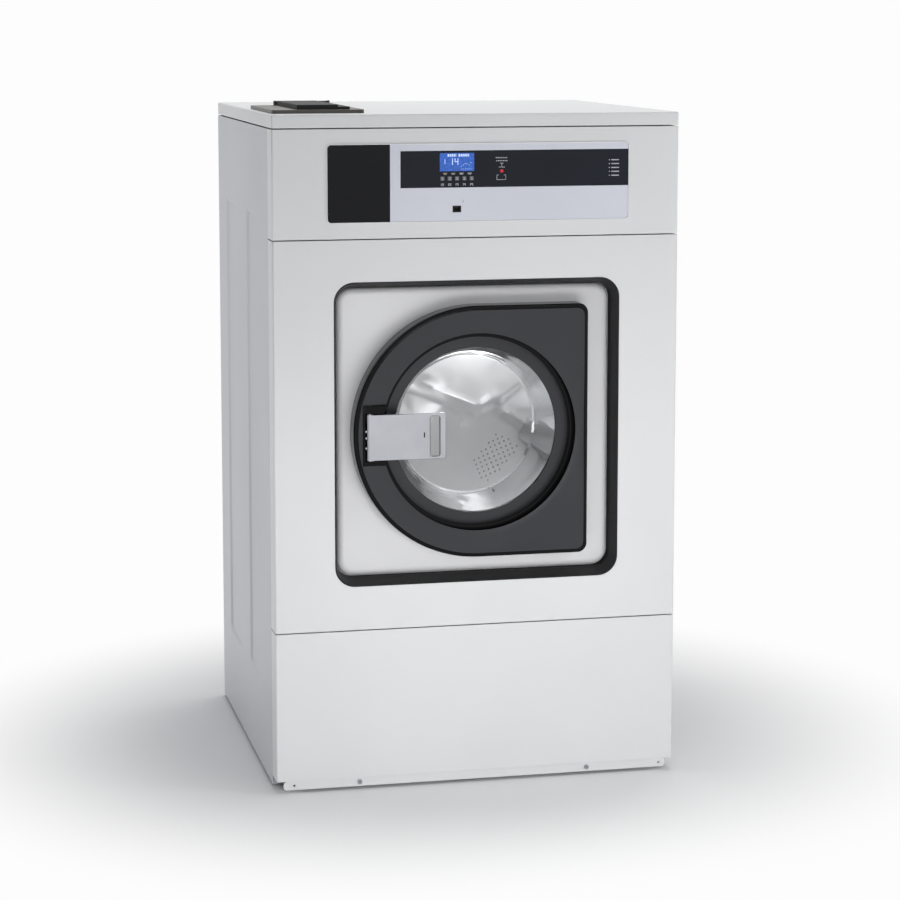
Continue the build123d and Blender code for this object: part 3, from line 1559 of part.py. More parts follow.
# Screws: heads with shanks, grouped by place
rear_screw_inset = 12.0
rear_screw_x = half_width - rear_screw_inset
rear_screw_margin = 20.0

rear_screw_heights = [
    height
    for low, high in (
        (lip_gap, rear_bottom_top),
        (rear_cover_bottom, rear_cover_top),
        (rear_top_bottom, fascia_top),
    )
    for height in (low + rear_screw_margin, high - rear_screw_margin)
]

with BuildPart() as casing_screws:
    for place in plinth_screws_x:
        bar(place, plinth_z, screw_head_r, (plinth_setback - screw_head_height, plinth_setback))
        bar(place, plinth_z, screw_shank_r, (plinth_setback, plinth_setback + screw_length))
    for height in rear_screw_heights:
        for side in (-1, 1):
            place = side * rear_screw_x
            bar(place, height, screw_head_r, (cabinet_depth, cabinet_depth + screw_head_height))
casing_screws.part.label = "casing_screws"
export_step(casing_screws.part, "parts/casing_screws.step")
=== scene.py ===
import json
import math

import bpy
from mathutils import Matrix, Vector


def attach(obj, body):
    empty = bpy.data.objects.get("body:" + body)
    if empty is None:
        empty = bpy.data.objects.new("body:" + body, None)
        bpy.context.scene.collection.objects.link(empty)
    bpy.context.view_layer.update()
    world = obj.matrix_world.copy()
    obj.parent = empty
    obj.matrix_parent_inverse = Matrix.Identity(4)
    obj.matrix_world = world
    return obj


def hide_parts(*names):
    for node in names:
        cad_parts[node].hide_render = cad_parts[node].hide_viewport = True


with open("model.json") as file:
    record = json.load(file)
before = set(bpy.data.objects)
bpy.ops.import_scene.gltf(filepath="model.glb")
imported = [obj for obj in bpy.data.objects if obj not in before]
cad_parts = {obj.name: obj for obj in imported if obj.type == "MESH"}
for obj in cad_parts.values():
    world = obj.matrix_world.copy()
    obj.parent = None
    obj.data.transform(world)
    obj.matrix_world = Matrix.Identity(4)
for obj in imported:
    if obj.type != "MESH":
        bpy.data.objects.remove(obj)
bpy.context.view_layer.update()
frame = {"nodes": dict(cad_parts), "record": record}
nodes = frame["nodes"]

MM = 0.001
FRONT_Y = -338.75
DRUM_Z = 605.0

# Depths behind the front face, in millimetres: thin prints, and the overlay they lie on
PRINT = (-1.07, -0.98)
OVERLAY_FACE = -1.0

# The controls, across and up
PANEL_SPAN = (-254.0, 258.0)
PANEL_RISE = (959.6, 1087.1)
SCREEN_SPAN = (-65.7, -7.5)
SCREEN_RISE = (1042.0, 1072.0)
KEY_START = -61.4
KEY_STEP = 12.4
LIST_CORNER = (224.0, 1031.0)

# The drum sheets, in millimetres and degrees round the shaft
DRUM_RADIUS = 265.4
BACK_DEPTH = 467.6
BACK_EDGE = 263.5
BACK_GRID = 257.0
SHEET_GAUGE = 1.0
LIFTER_ANGLES = (100, 220, 340)
LIFTER_CLEAR = 9
HOLES_END = 184
PATCH_REACH = (160, 214)
PATCH_ANGLES = (-55, -29)


# Hand tools for the mesh work


def at(x, depth, z):
    """A place in the frame from millimetres: across, behind the front face, above the floor."""
    return Vector((x * MM, (FRONT_Y + depth) * MM, z * MM))


def clear():
    """Leaves edit mode and drops the selection."""
    if bpy.context.mode != "OBJECT":
        bpy.ops.object.mode_set(mode="OBJECT")
    bpy.ops.object.select_all(action="DESELECT")


def take(piece):
    """Makes one piece the selected and active one."""
    clear()
    piece.select_set(True)
    bpy.context.view_layer.objects.active = piece


def named(name):
    """Names the primitive that was just added and fixes its place in its mesh."""
    piece = bpy.context.object
    piece.name = name
    piece.data.name = name
    bpy.ops.object.transform_apply(location=True, rotation=True, scale=True)
    return piece


def block(name, x, depth, z):
    """A cube brought to its size and place."""
    clear()
    low = at(x[0], depth[0], z[0])
    high = at(x[1], depth[1], z[1])
    bpy.ops.mesh.primitive_cube_add(size=1, location=(low + high) / 2, scale=high - low)
    return named(name)


def rod(name, x, z, radius, depth, sides):
    """A cylinder that runs from front to back."""
    clear()
    middle = at(x, (depth[0] + depth[1]) / 2, z)
    length = (depth[1] - depth[0]) * MM
    bpy.ops.mesh.primitive_cylinder_add(
        vertices=sides,
        radius=radius * MM,
        depth=length,
        location=middle,
        rotation=(math.pi / 2, 0, 0),
    )
    return named(name)


def pick(piece, kind, test):
    """Opens edit mode with only the faces, edges or vertices selected that pass a test."""
    take(piece)
    bpy.ops.object.mode_set(mode="EDIT")
    bpy.ops.mesh.select_mode(type="VERT")
    bpy.ops.mesh.select_all(action="DESELECT")
    bpy.ops.mesh.select_mode(type=kind)
    bpy.ops.object.mode_set(mode="OBJECT")
    mesh = piece.data
    if kind == "FACE":
        for face in mesh.polygons:
            face.select = test(face)
    elif kind == "EDGE":
        for edge in mesh.edges:
            edge.select = test(*[mesh.vertices[i].co for i in edge.vertices])
    else:
        for vertex in mesh.vertices:
            vertex.select = test(vertex.co)
    bpy.ops.object.mode_set(mode="EDIT")


def pick_all(piece, kind="FACE"):
    """Opens edit mode with everything selected."""
    take(piece)
    bpy.ops.object.mode_set(mode="EDIT")
    bpy.ops.mesh.select_mode(type=kind)
    bpy.ops.mesh.select_all(action="SELECT")


def round_edges(piece, width, segments=2, test=None):
    """Bevels the chosen edges, or all of them, in edit mode."""
    if test is None:
        pick_all(piece, "EDGE")
    else:
        pick(piece, "EDGE", test)
    bpy.ops.mesh.bevel(offset=width * MM, offset_type="OFFSET", segments=segments, profile=0.5)
    clear()


def smooth(piece, angle=35.0):
    """Shades curved runs smooth and keeps the corners."""
    take(piece)
    bpy.ops.object.shade_smooth_by_angle(angle=math.radians(angle))


def done(piece, body, material, slot, *replaced):
    """Gives the finished piece its body, its finish and the nodes it stands for."""
    clear()
    smooth(piece)
    piece.data.materials.clear()
    piece.data.materials.append(material)
    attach(piece, body)
    if replaced:
        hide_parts(*replaced)
    return piece


# Tools for the finishes


def linear(code):
    """An sRGB hex colour in the linear values that the sockets take."""
    shares = [int(code[start : start + 2], 16) / 255 for start in (1, 3, 5)]
    return [v / 12.92 if v <= 0.04045 else ((v + 0.055) / 1.055) ** 2.4 for v in shares] + [1.0]


def add(tree, kind, settings, inputs):
    """Adds a node with its settings, its values and its links."""
    node = tree.nodes.new(kind)
    for name, value in settings.items():
        setattr(node, name, value)
    for name, value in inputs.items():
        socket = node.inputs[name]
        if isinstance(value, bpy.types.NodeSocket):
            tree.links.new(value, socket)
        else:
            socket.default_value = value
    return node


def finish(
    name,
    colour,
    shade,
    roughness,
    patch_mm=180.0,
    grain_mm=3.0,
    grain_depth=0.02,
    stretch=(1.0, 1.0, 1.0),
    metallic=0.0,
    ior=1.5,
    sheen=0.0,
    specular=0.5,
):
    """A surface with broad colour drift, a rough to smooth range and a fine grain in relief."""
    material = bpy.data.materials.new(name)
    material.use_nodes = True
    tree = material.node_tree
    tree.nodes.clear()
    place = add(tree, "ShaderNodeTexCoord", {}, {}).outputs["Object"]
    patches = add(
        tree,
        "ShaderNodeTexNoise",
        {},
        {"Vector": place, "Scale": 1 / (patch_mm * MM), "Detail": 3.0, "Roughness": 0.5},
    ).outputs["Fac"]
    drift = add(
        tree,
        "ShaderNodeMapRange",
        {},
        {"Value": patches, "From Min": 0.3, "From Max": 0.7},
    ).outputs["Result"]
    tint = add(
        tree,
        "ShaderNodeMix",
        {"data_type": "RGBA"},
        {"Factor": drift},
    )
    tint.inputs[6].default_value = linear(colour)
    tint.inputs[7].default_value = linear(shade)
    drawn = add(
        tree, "ShaderNodeMapping", {}, {"Vector": place, "Scale": stretch}
    ).outputs["Vector"]
    grain = add(
        tree,
        "ShaderNodeTexNoise",
        {},
        {"Vector": drawn, "Scale": 1 / (grain_mm * MM), "Detail": 2.0, "Roughness": 0.55},
    ).outputs["Fac"]
    gloss = add(
        tree,
        "ShaderNodeMapRange",
        {},
        {
            "Value": grain,
            "From Min": 0.25,
            "From Max": 0.75,
            "To Min": roughness[0],
            "To Max": roughness[1],
        },
    ).outputs["Result"]
    relief = add(
        tree,
        "ShaderNodeBump",
        {},
        {"Height": grain, "Strength": 1.0, "Distance": grain_depth * MM},
    ).outputs["Normal"]
    inputs = {"Base Color": tint.outputs[2], "Roughness": gloss, "Normal": relief}
    inputs["Metallic"] = metallic
    if metallic < 1.0:
        inputs["IOR"] = ior
        inputs["Specular IOR Level"] = specular
    if sheen:
        inputs["Sheen Weight"] = sheen
    shader = add(tree, "ShaderNodeBsdfPrincipled", {}, inputs).outputs["BSDF"]
    add(tree, "ShaderNodeOutputMaterial", {}, {"Surface": shader})
    return material


# Powder coat on sheet steel, light grey: even satin with a faint orange peel, its 2 mm dimples
# drawn at 5 mm so that they show
POWDER_LIGHT = finish(
    "powder_coat_light_grey", "#DCDDDD", "#D6D7D8", (0.34, 0.42), 420.0, 5.0, 0.012, ior=1.5
)
# The same coat painted a tone darker on the side and rear sheets, as painted shade: slightly
# flatter, colder grey
POWDER_SIDE_PAINTED_SHADE = finish(
    "powder_coat_side_painted_shade", "#C6C8CB", "#BEC0C4", (0.38, 0.46), 380.0, 5.0, 0.015, ior=1.5
)
# Powder coat on the drawn surround: paler and a little glossier, from the smooth deep drawn sheet
POWDER_SURROUND = finish(
    "powder_coat_surround", "#E2E2E3", "#DBDBDD", (0.28, 0.36), 300.0, 6.0, 0.01, ior=1.5
)
# Polyester film printed from behind: matte, very even, faintly cool
FILM_LIGHT = finish(
    "printed_polyester_film", "#D2D5DE", "#CCCFD9", (0.42, 0.5), 150.0, 1.5, 0.004, ior=1.6
)
# Smoked acrylic window strip: blue black and glossy
ACRYLIC_SMOKED = finish(
    "smoked_acrylic_strip",
    "#131824",
    "#10141E",
    (0.10, 0.16),
    120.0,
    4.0,
    0.003,
    ior=1.38,
    specular=0.35,
)
# Gloss ABS, injection moulded black: deep, with soft clean highlights
ABS_GLOSS = finish(
    "abs_gloss_black", "#070708", "#0A0A0C", (0.06, 0.10), 90.0, 3.0, 0.006, ior=1.4, specular=0.2
)
# Glass filled polyamide, spark eroded mould: satin dark grey with a sand like grain, drawn at 3 mm
POLYAMIDE_DARK = finish(
    "polyamide_satin_dark_grey", "#27282C", "#222327", (0.30, 0.40), 120.0, 3.0, 0.02, ior=1.45
)
# ABS with a fine mould grain, black: dull and even
ABS_MATTE = finish("abs_matte_black", "#101012", "#141416", (0.5, 0.62), 80.0, 2.5, 0.02, ior=1.4)
# Anodised aluminium, brushed along the lever: pale satin with long fine lines
ALUMINIUM_LEVER = finish(
    "anodised_aluminium_lever",
    "#B9BBC1",
    "#AFB1B7",
    (0.30, 0.42),
    60.0,
    1.2,
    0.006,
    stretch=(0.05, 1.0, 1.0),
    metallic=1.0,
)
# Silicone keys: soft mid grey, almost no gloss
SILICONE_KEY = finish(
    "silicone_key_grey",
    "#6E7074",
    "#67696D",
    (0.5, 0.6),
    20.0,
    1.0,
    0.01,
    ior=1.43,
)
# Epoxy glass circuit board under solder mask: green, glossy, weave drawn at 2 mm
BOARD_GREEN = finish(
    "circuit_board_mask",
    "#1E5A3A",
    "#194D32",
    (0.2, 0.32),
    40.0,
    2.0,
    0.01,
    ior=1.55,
)
# EPDM rubber, moulded: dark, dull with a grey bloom
RUBBER = finish(
    "epdm_rubber",
    "#262729",
    "#303134",
    (0.55, 0.7),
    70.0,
    3.0,
    0.03,
    ior=1.52,
    sheen=0.15,
)
# Stainless sheet with a mill finish, rolled along its length: grey with drawn out rolling lines
STAINLESS_MILL = finish(
    "stainless_mill_finish",
    "#B9BABB",
    "#AEAFB1",
    (0.30, 0.42),
    150.0,
    2.0,
    0.008,
    stretch=(1.0, 0.08, 1.0),
    metallic=1.0,
)
# Stainless drum sheet, bright annealed and painted a near white tone that stands in for the light
# in the drum, so partly painted light: pale, with soft cloudy highlights from the pressing
STAINLESS_DRUM_PAINTED_LIGHT = finish(
    "stainless_drum_painted_light",
    "#FAFAFA",
    "#F0F0F1",
    (0.26, 0.36),
    90.0,
    22.0,
    0.05,
    metallic=0.8,
)
# The same sheet on the pressed back, scotch polished and painted near white as partly painted
# light: soft broad highlights on the pressed shapes
STAINLESS_BACK_PAINTED_LIGHT = finish(
    "stainless_back_painted_light", "#FAFAFB", "#F0F1F3", (0.30, 0.38), 70.0, 30.0, 0.03, metallic=0.8
)
# Sectional steel in dark grey baked enamel: low sheen, slightly wavy
ENAMEL_FRAME = finish("frame_enamel_dark_grey", "#55585B", "#4E5154", (0.38, 0.5), 160.0, 6.0, 0.05)
# Grey iron sand cast and painted: coarse skin, drawn at 4 mm
CAST_IRON = finish("painted_grey_iron", "#4A4E53", "#42464B", (0.5, 0.66), 60.0, 4.0, 0.12)
# Turned and ground steel: bright with fine lathe rings across the axis
STEEL_TURNED = finish(
    "turned_steel",
    "#A8AAAC",
    "#9C9EA1",
    (0.2, 0.34),
    30.0,
    1.5,
    0.01,
    stretch=(1.0, 0.2, 1.0),
    metallic=1.0,
)
# Aluminium sand casting: pale, matte and pitted
ALUMINIUM_CAST = finish(
    "cast_aluminium",
    "#B4B5B6",
    "#A7A8AA",
    (0.42, 0.58),
    50.0,
    4.0,
    0.1,
    metallic=1.0,
)
# Polypropylene hopper moulding: warm mid grey, waxy and dull
POLYPROPYLENE_HOPPER = finish(
    "polypropylene_hopper_grey", "#47433F", "#403C39", (0.4, 0.5), 90.0, 3.0, 0.02, ior=1.49
)
# ABS lid with a coarser grain: near black grey
ABS_LID = finish("abs_lid_dark_grey", "#111214", "#0E0F10", (0.62, 0.75), 70.0, 2.5, 0.03, ior=1.4)
# Polycarbonate drive housing: cool dark grey, satin
POLYCARBONATE_GREY = finish(
    "polycarbonate_drive_housing", "#4C4F53", "#45484C", (0.36, 0.46), 90.0, 3.0, 0.02, ior=1.58
)
# Polyamide valve bodies: ivory white, slightly glossy
POLYAMIDE_IVORY = finish(
    "polyamide_valve_ivory", "#D4D2C8", "#CBC9BE", (0.3, 0.42), 50.0, 3.0, 0.02, ior=1.53
)
# Zinc plated steel, blue passivated: cool grey with a cloudy spangle
ZINC_PLATED = finish(
    "zinc_plated_steel", "#AEB2B8", "#9EA2A9", (0.28, 0.42), 8.0, 3.0, 0.02, metallic=1.0
)

# Back painted acrylic: black, near mirror gloss
ACRYLIC_BLACK = finish(
    "back_painted_acrylic_black",
    "#0C0D10",
    "#101114",
    (0.07, 0.12),
    80.0,
    5.0,
    0.002,
    ior=1.36,
    specular=0.3,
)
# Screen printed ink on the film, light grey: slightly raised, dull
INK_GREY = finish(
    "screen_ink_light_grey",
    "#B9BBC2",
    "#A6A8B0",
    (0.45, 0.6),
    6.0,
    1.0,
    0.005,
    ior=1.5,
)
# The same ink over a warm ground: a little yellow
INK_WARM = finish(
    "screen_ink_warm_grey",
    "#B5AC9C",
    "#A19A8D",
    (0.45, 0.6),
    6.0,
    1.0,
    0.005,
    ior=1.5,
)
# Ink on the pale film: a grey one step darker than the film
INK_SHADE = finish(
    "screen_ink_mid_grey",
    "#9A9CA4",
    "#8D8F97",
    (0.45, 0.6),
    6.0,
    1.0,
    0.005,
    ior=1.5,
)


def lit_screen(name, colour, shade, strength, patch_mm):
    """A lit layer under glass: its own glow, a little uneven, and a weak gloss."""
    material = bpy.data.materials.new(name)
    material.use_nodes = True
    tree = material.node_tree
    tree.nodes.clear()
    place = add(tree, "ShaderNodeTexCoord", {}, {}).outputs["Object"]
    cloud = add(
        tree,
        "ShaderNodeTexNoise",
        {},
        {"Vector": place, "Scale": 1 / (patch_mm * MM), "Detail": 2.0},
    ).outputs["Fac"]
    drift = add(
        tree, "ShaderNodeMapRange", {}, {"Value": cloud, "From Min": 0.35, "From Max": 0.65}
    ).outputs["Result"]
    tint = add(tree, "ShaderNodeMix", {"data_type": "RGBA"}, {"Factor": drift})
    tint.inputs[6].default_value = linear(colour)
    tint.inputs[7].default_value = linear(shade)
    inputs = {
        "Base Color": tint.outputs[2],
        "Emission Color": tint.outputs[2],
        "Emission Strength": strength,
        "Roughness": 0.2,
        "IOR": 1.5,
    }
    shader = add(tree, "ShaderNodeBsdfPrincipled", {}, inputs).outputs["BSDF"]
    add(tree, "ShaderNodeOutputMaterial", {}, {"Surface": shader})
    return material


# Lit display behind polarising film: saturated blue, cloudy at the pixels, drawn at 4 mm
SCREEN_LIT = lit_screen("display_blue_backlight", "#2D5CB4", "#234992", 0.5, 4.0)
# Its lit characters: pale blue white
SCREEN_CHARACTERS = lit_screen("display_characters", "#C6D6F6", "#A9BEEA", 0.55, 3.0)
# Clear red lamp cap over a lit diode: bright at the middle
LAMP_RED = lit_screen("lamp_red_polycarbonate", "#C01C28", "#8E121C", 0.35, 5.0)


def clear_glass():
    """Borosilicate bowl, blown and fire polished: clear, faintly green at the edge, wavy."""
    material = bpy.data.materials.new("borosilicate_door_glass")
    material.use_nodes = True
    tree = material.node_tree
    tree.nodes.clear()
    place = add(tree, "ShaderNodeTexCoord", {}, {}).outputs["Object"]
    waves = add(
        tree, "ShaderNodeTexNoise", {}, {"Vector": place, "Scale": 1 / (45 * MM), "Detail": 1.0}
    ).outputs["Fac"]
    relief = add(
        tree, "ShaderNodeBump", {}, {"Height": waves, "Strength": 1.0, "Distance": 0.35 * MM}
    ).outputs["Normal"]
    body = add(
        tree,
        "ShaderNodeBsdfPrincipled",
        {},
        {
            "Base Color": linear("#FCFDFD"),
            "Roughness": 0.02,
            "IOR": 1.47,
            "Transmission Weight": 1.0,
            "Normal": relief,
        },
    ).outputs["BSDF"]
    open_way = add(
        tree, "ShaderNodeBsdfTransparent", {}, {"Color": linear("#FCFDFD")}
    ).outputs["BSDF"]
    shadow = add(tree, "ShaderNodeLightPath", {}, {}).outputs["Is Shadow Ray"]
    shader = add(
        tree, "ShaderNodeMixShader", {}, {"Fac": shadow, 1: body, 2: open_way}
    ).outputs["Shader"]
    add(tree, "ShaderNodeOutputMaterial", {}, {"Surface": shader})
    return material


GLASS = clear_glass()

FINISHES = {
    "casing_grey": POWDER_LIGHT,
    "casing_side": POWDER_SIDE_PAINTED_SHADE,
    "surround_light": POWDER_SURROUND,
    "overlay_light": FILM_LIGHT,
    "black_gloss": ABS_GLOSS,
    "face_grey": POLYAMIDE_DARK,
    "lever_grey": ALUMINIUM_LEVER,
    "key_grey": SILICONE_KEY,
    "black_matte": ABS_MATTE,
    "board": BOARD_GREEN,
    "glass": GLASS,
    "rubber": RUBBER,
    "stainless": STAINLESS_MILL,
    "stainless_bright": STAINLESS_DRUM_PAINTED_LIGHT,
    "frame_steel": ENAMEL_FRAME,
    "cast": CAST_IRON,
    "machined": STEEL_TURNED,
    "spider_cast": ALUMINIUM_CAST,
    "hopper_grey": POLYPROPYLENE_HOPPER,
    "hopper_lid_grey": ABS_LID,
    "inverter_grey": POLYCARBONATE_GREY,
    "valve_white": POLYAMIDE_IVORY,
    "zinc": ZINC_PLATED,
}

node_slot = {}
for part in frame["record"]["subparts"]:
    node_slot[part["node"]] = part["material_slot"]


# Camera, lamps, floor and background


def look_at(lamp, target):
    """Turns a lamp towards a place."""
    lamp.rotation_euler = (Vector(target) - lamp.location).to_track_quat("-Z", "Y").to_euler()


def set_stage():
    """The photograph's viewing angle, soft lamps and a pale floor."""
    scene = bpy.context.scene
    lens = bpy.data.cameras.new("view")
    lens.sensor_width = 36.0
    lens.lens = VIEW["lens"]
    lens.shift_y = VIEW["shift"]
    view = bpy.data.objects.new("view", lens)
    view.location = VIEW["place"]
    view.rotation_euler = (math.radians(90 - VIEW["tilt"]), 0, math.radians(-VIEW["turn"]))
    scene.collection.objects.link(view)
    scene.camera = view
    scene.view_settings.view_transform = "Standard"

    for name, place, target, size, power, tone, mirrored in LAMPS:
        light = bpy.data.lights.new(name, "AREA")
        light.shape = "RECTANGLE"
        light.size, light.size_y = size
        light.energy = power
        light.color = linear(tone)[:3]
        lamp = bpy.data.objects.new(name, light)
        lamp.location = place
        lamp.visible_camera = False
        lamp.visible_glossy = mirrored
        lamp.visible_transmission = False
        look_at(lamp, target)
        scene.collection.objects.link(lamp)
    beam = bpy.data.lights.new("drum_beam", "SPOT")
    beam.energy = DRUM_BEAM["power"]
    beam.spot_size = math.radians(DRUM_BEAM["angle"])
    beam.spot_blend = 0.5
    beam.shadow_soft_size = 0.3
    lamp = bpy.data.objects.new("drum_beam", beam)
    lamp.location = DRUM_BEAM["place"]
    lamp.visible_camera = False
    look_at(lamp, DRUM_BEAM["target"])
    scene.collection.objects.link(lamp)

    world = bpy.data.worlds.new("studio")
    scene.world = world
    world.use_nodes = True
    tree = world.node_tree
    tree.nodes.clear()
    seen = seen_rays(tree)
    dim = add(
        tree,
        "ShaderNodeBackground",
        {},
        {"Color": linear("#F4F6FA"), "Strength": WORLD_LIGHT},
    )
    pale = add(tree, "ShaderNodeBackground", {}, {"Color": linear("#FDFDFD"), "Strength": 1.0})
    mixed = add(
        tree,
        "ShaderNodeMixShader",
        {},
        {"Fac": seen, 1: dim.outputs["Background"], 2: pale.outputs["Background"]},
    )
    add(tree, "ShaderNodeOutputWorld", {}, {"Surface": mixed.outputs["Shader"]})

    clear()
    bpy.ops.mesh.primitive_circle_add(
        vertices=64, radius=FLOOR_REACH, fill_type="NGON", location=(0, 0, -FLOOR_GAP)
    )
    floor = bpy.context.object
    floor.name = "studio_floor"
    floor.data.materials.append(floor_paint())


def seen_rays(tree):
    """One where the camera, a reflection or clear glass looks at the background."""
    rays = add(tree, "ShaderNodeLightPath", {}, {}).outputs
    mirror = add(
        tree,
        "ShaderNodeMath",
        {"operation": "MAXIMUM"},
        {0: rays["Is Camera Ray"], 1: rays["Is Glossy Ray"]},
    ).outputs["Value"]
    return add(
        tree,
        "ShaderNodeMath",
        {"operation": "MAXIMUM"},
        {0: mirror, 1: rays["Is Transmission Ray"]},
    ).outputs["Value"]


def floor_paint():
    """Matte white studio floor that melts into the background away from the object."""
    material = bpy.data.materials.new("studio_floor_paint")
    material.use_nodes = True
    tree = material.node_tree
    tree.nodes.clear()
    place = add(tree, "ShaderNodeTexCoord", {}, {}).outputs["Object"]
    reach = add(tree, "ShaderNodeVectorMath", {"operation": "LENGTH"}, {0: place}).outputs["Value"]
    far = add(
        tree,
        "ShaderNodeMapRange",
        {"interpolation_type": "SMOOTHSTEP"},
        {"Value": reach, "From Min": FLOOR_FADE[0], "From Max": FLOOR_FADE[1]},
    ).outputs["Result"]
    fade = add(
        tree, "ShaderNodeMath", {"operation": "MULTIPLY"}, {0: far, 1: seen_rays(tree)}
    ).outputs["Value"]
    paint = add(tree, "ShaderNodeBsdfDiffuse", {}, {"Color": linear("#F6F6F6")}).outputs["BSDF"]
    glow = add(tree, "ShaderNodeEmission", {}, {"Color": linear("#FDFDFD"), "Strength": 1.0})
    shader = add(
        tree, "ShaderNodeMixShader", {}, {"Fac": fade, 1: paint, 2: glow.outputs["Emission"]}
    ).outputs["Shader"]
    add(tree, "ShaderNodeOutputMaterial", {}, {"Surface": shader})
    return material


VIEW = {
    "lens": 102.53,
    "shift": -0.11,
    "place": (-0.9709, -4.4736, 1.2894),
    "tilt": 7.354,
    "turn": 12.578,
}
WORLD_LIGHT = 0.25
FLOOR_REACH = 14.0
FLOOR_GAP = 0.0005
FLOOR_FADE = (0.42, 1.0)
# Name, place, target, size, power, tone, and whether polished surfaces show it
LAMPS = (
    ("key_softbox", (0.0, -1.4, 0.3), (0.0, -0.34, 0.4), (1.4, 0.4), 6.9, "#FFFFFF", False),
    ("right_softbox", (1.1, -1.0, 1.3), (0.2, -0.34, 0.9), (0.6, 0.6), 4.4, "#FFFFFF", False),
    ("front_softbox", (-0.4, -5.3, 1.9), (0.0, -0.34, 0.6), (1.3, 0.9), 25.5, "#FFFFFF", True),
    ("side_softbox", (-2.7, 1.3, 0.7), (-0.3, 0.0, 0.4), (1.4, 1.2), 18.0, "#FBFCFF", True),
    ("top_softbox", (0.3, 0.7, 3.0), (0.0, 0.0, 1.1), (2.0, 2.0), 34.0, "#FFFFFF", True),
    ("drum_softbox", (0.12, 0.0, 0.78), (0.06, 0.14, 0.62), (0.16, 0.12), 0.62, "#FFFFFF", True),
)
# A narrow beam through the door glass, as set up to show a drum
DRUM_BEAM = {"place": (-0.45, -5.2, 0.3), "target": (0.02, -0.3, 0.66), "angle": 3.7, "power": 70.0}
set_stage()


# Finishes of the carried over nodes, with their sheet edges broken

SHARP_BEVEL = {
    "worktop": 1.2,
    "control_fascia": 1.2,
    "front_panel": 1.2,
    "lower_front_panel": 1.2,
    "plinth_strip": 0.6,
    "left_side_panel": 0.8,
    "right_side_panel": 0.8,
    "door_frame": 1.4,
    "door_face": 0.5,
    "glass_ring": 0.6,
    "handle_lever": 0.8,
    "handle_housing": 0.6,
    "hopper_body": 0.7,
    "hopper_lid": 0.8,
    "control_overlay": 0.3,
    "display_lens": 0.2,
}
for name, node in nodes.items():
    node.data.materials.clear()
    coat = ACRYLIC_SMOKED if name == "display_lens" else FINISHES[node_slot[name]]
    node.data.materials.append(coat)
    if name in SHARP_BEVEL:
        weld = node.modifiers.new("weld", "WELD")
        weld.merge_threshold = 0.00001
        edge = node.modifiers.new("broken_edge", "BEVEL")
        edge.width = SHARP_BEVEL[name] * MM
        edge.segments = 2
        edge.limit_method = "ANGLE"
        edge.angle_limit = math.radians(50)
        edge.harden_normals = False

# Control panel: blank plate, lit screen, printed marks and the small lamp


def joined(name, parts):
    """Joins several blocks into one piece."""
    clear()
    for part in parts:
        part.select_set(True)
    bpy.context.view_layer.objects.active = parts[0]
    bpy.ops.object.join()
    piece = bpy.context.object
    piece.name = name
    piece.data.name = name
    return piece


def strokes(name, spans, depth, edge=0.08):
    """Several flat strokes as one piece, their edges broken."""
    parts = [block(name, x, depth, z) for x, z in spans]
    piece = joined(name, parts)
    round_edges(piece, edge, 1)
    return piece


def seven_bars(lit, x, z, width, height, stroke):
    """The lit bars of one figure, as spans across and up."""
    middle = z + height / 2
    places = {
        "a": ((x, x + width), (z + height - stroke, z + height)),
        "b": ((x + width - stroke, x + width), (middle, z + height)),
        "c": ((x + width - stroke, x + width), (z, middle)),
        "d": ((x, x + width), (z, z + stroke)),
        "e": ((x, x + stroke), (z, middle)),
        "f": ((x, x + stroke), (middle, z + height)),
        "g": ((x, x + width), (middle - stroke / 2, middle + stroke / 2)),
    }
    return [places[bar] for bar in lit]


def is_front(face):
    """True on a face that looks out of the front."""
    return face.normal.y < -0.9


def runs_back(a, b):
    """True on an edge that runs from front to back."""
    return abs(a.y - b.y) > 0.1 * MM


def thin_frame(name, x, depth, z, corner, width):
    """A thin raised frame with round corners, hollowed from a block."""
    piece = block(name, x, depth, z)
    round_edges(piece, corner, 6, runs_back)
    pick(piece, "FACE", lambda face: abs(face.normal.y) > 0.9)
    bpy.ops.mesh.inset(thickness=width * MM)
    bpy.ops.mesh.bridge_edge_loops()
    round_edges(piece, width * 0.3, 2, lambda a, b: not runs_back(a, b))
    return piece


def panel_rim():
    """Moulded rim all around the controls, in the paler surround coat that stands in for the
    highlight along the rim: partly painted highlight.
    """
    piece = thin_frame("panel_rim", (-255.6, 259.6), (-2.0, -0.02), (958.0, 1088.7), 7.5, 1.7)
    return done(piece, "casing", POWDER_SURROUND, "overlay_light")


def blank_plate():
    """Gloss plate at the left of the controls, its face drawn in by a shallow step."""
    piece = block("blank_plate", (PANEL_SPAN[0], -149.6), (-1.7, OVERLAY_FACE), PANEL_RISE)
    round_edges(piece, 6.0, 6, lambda a, b: runs_back(a, b) and a.x < -200 * MM)
    pick(piece, "FACE", is_front)
    bpy.ops.mesh.inset(thickness=1.6 * MM)
    bpy.ops.transform.translate(value=(0, -0.25 * MM, 0))
    round_edges(piece, 0.12, 2)
    return done(piece, "casing", ACRYLIC_BLACK, "black_gloss")


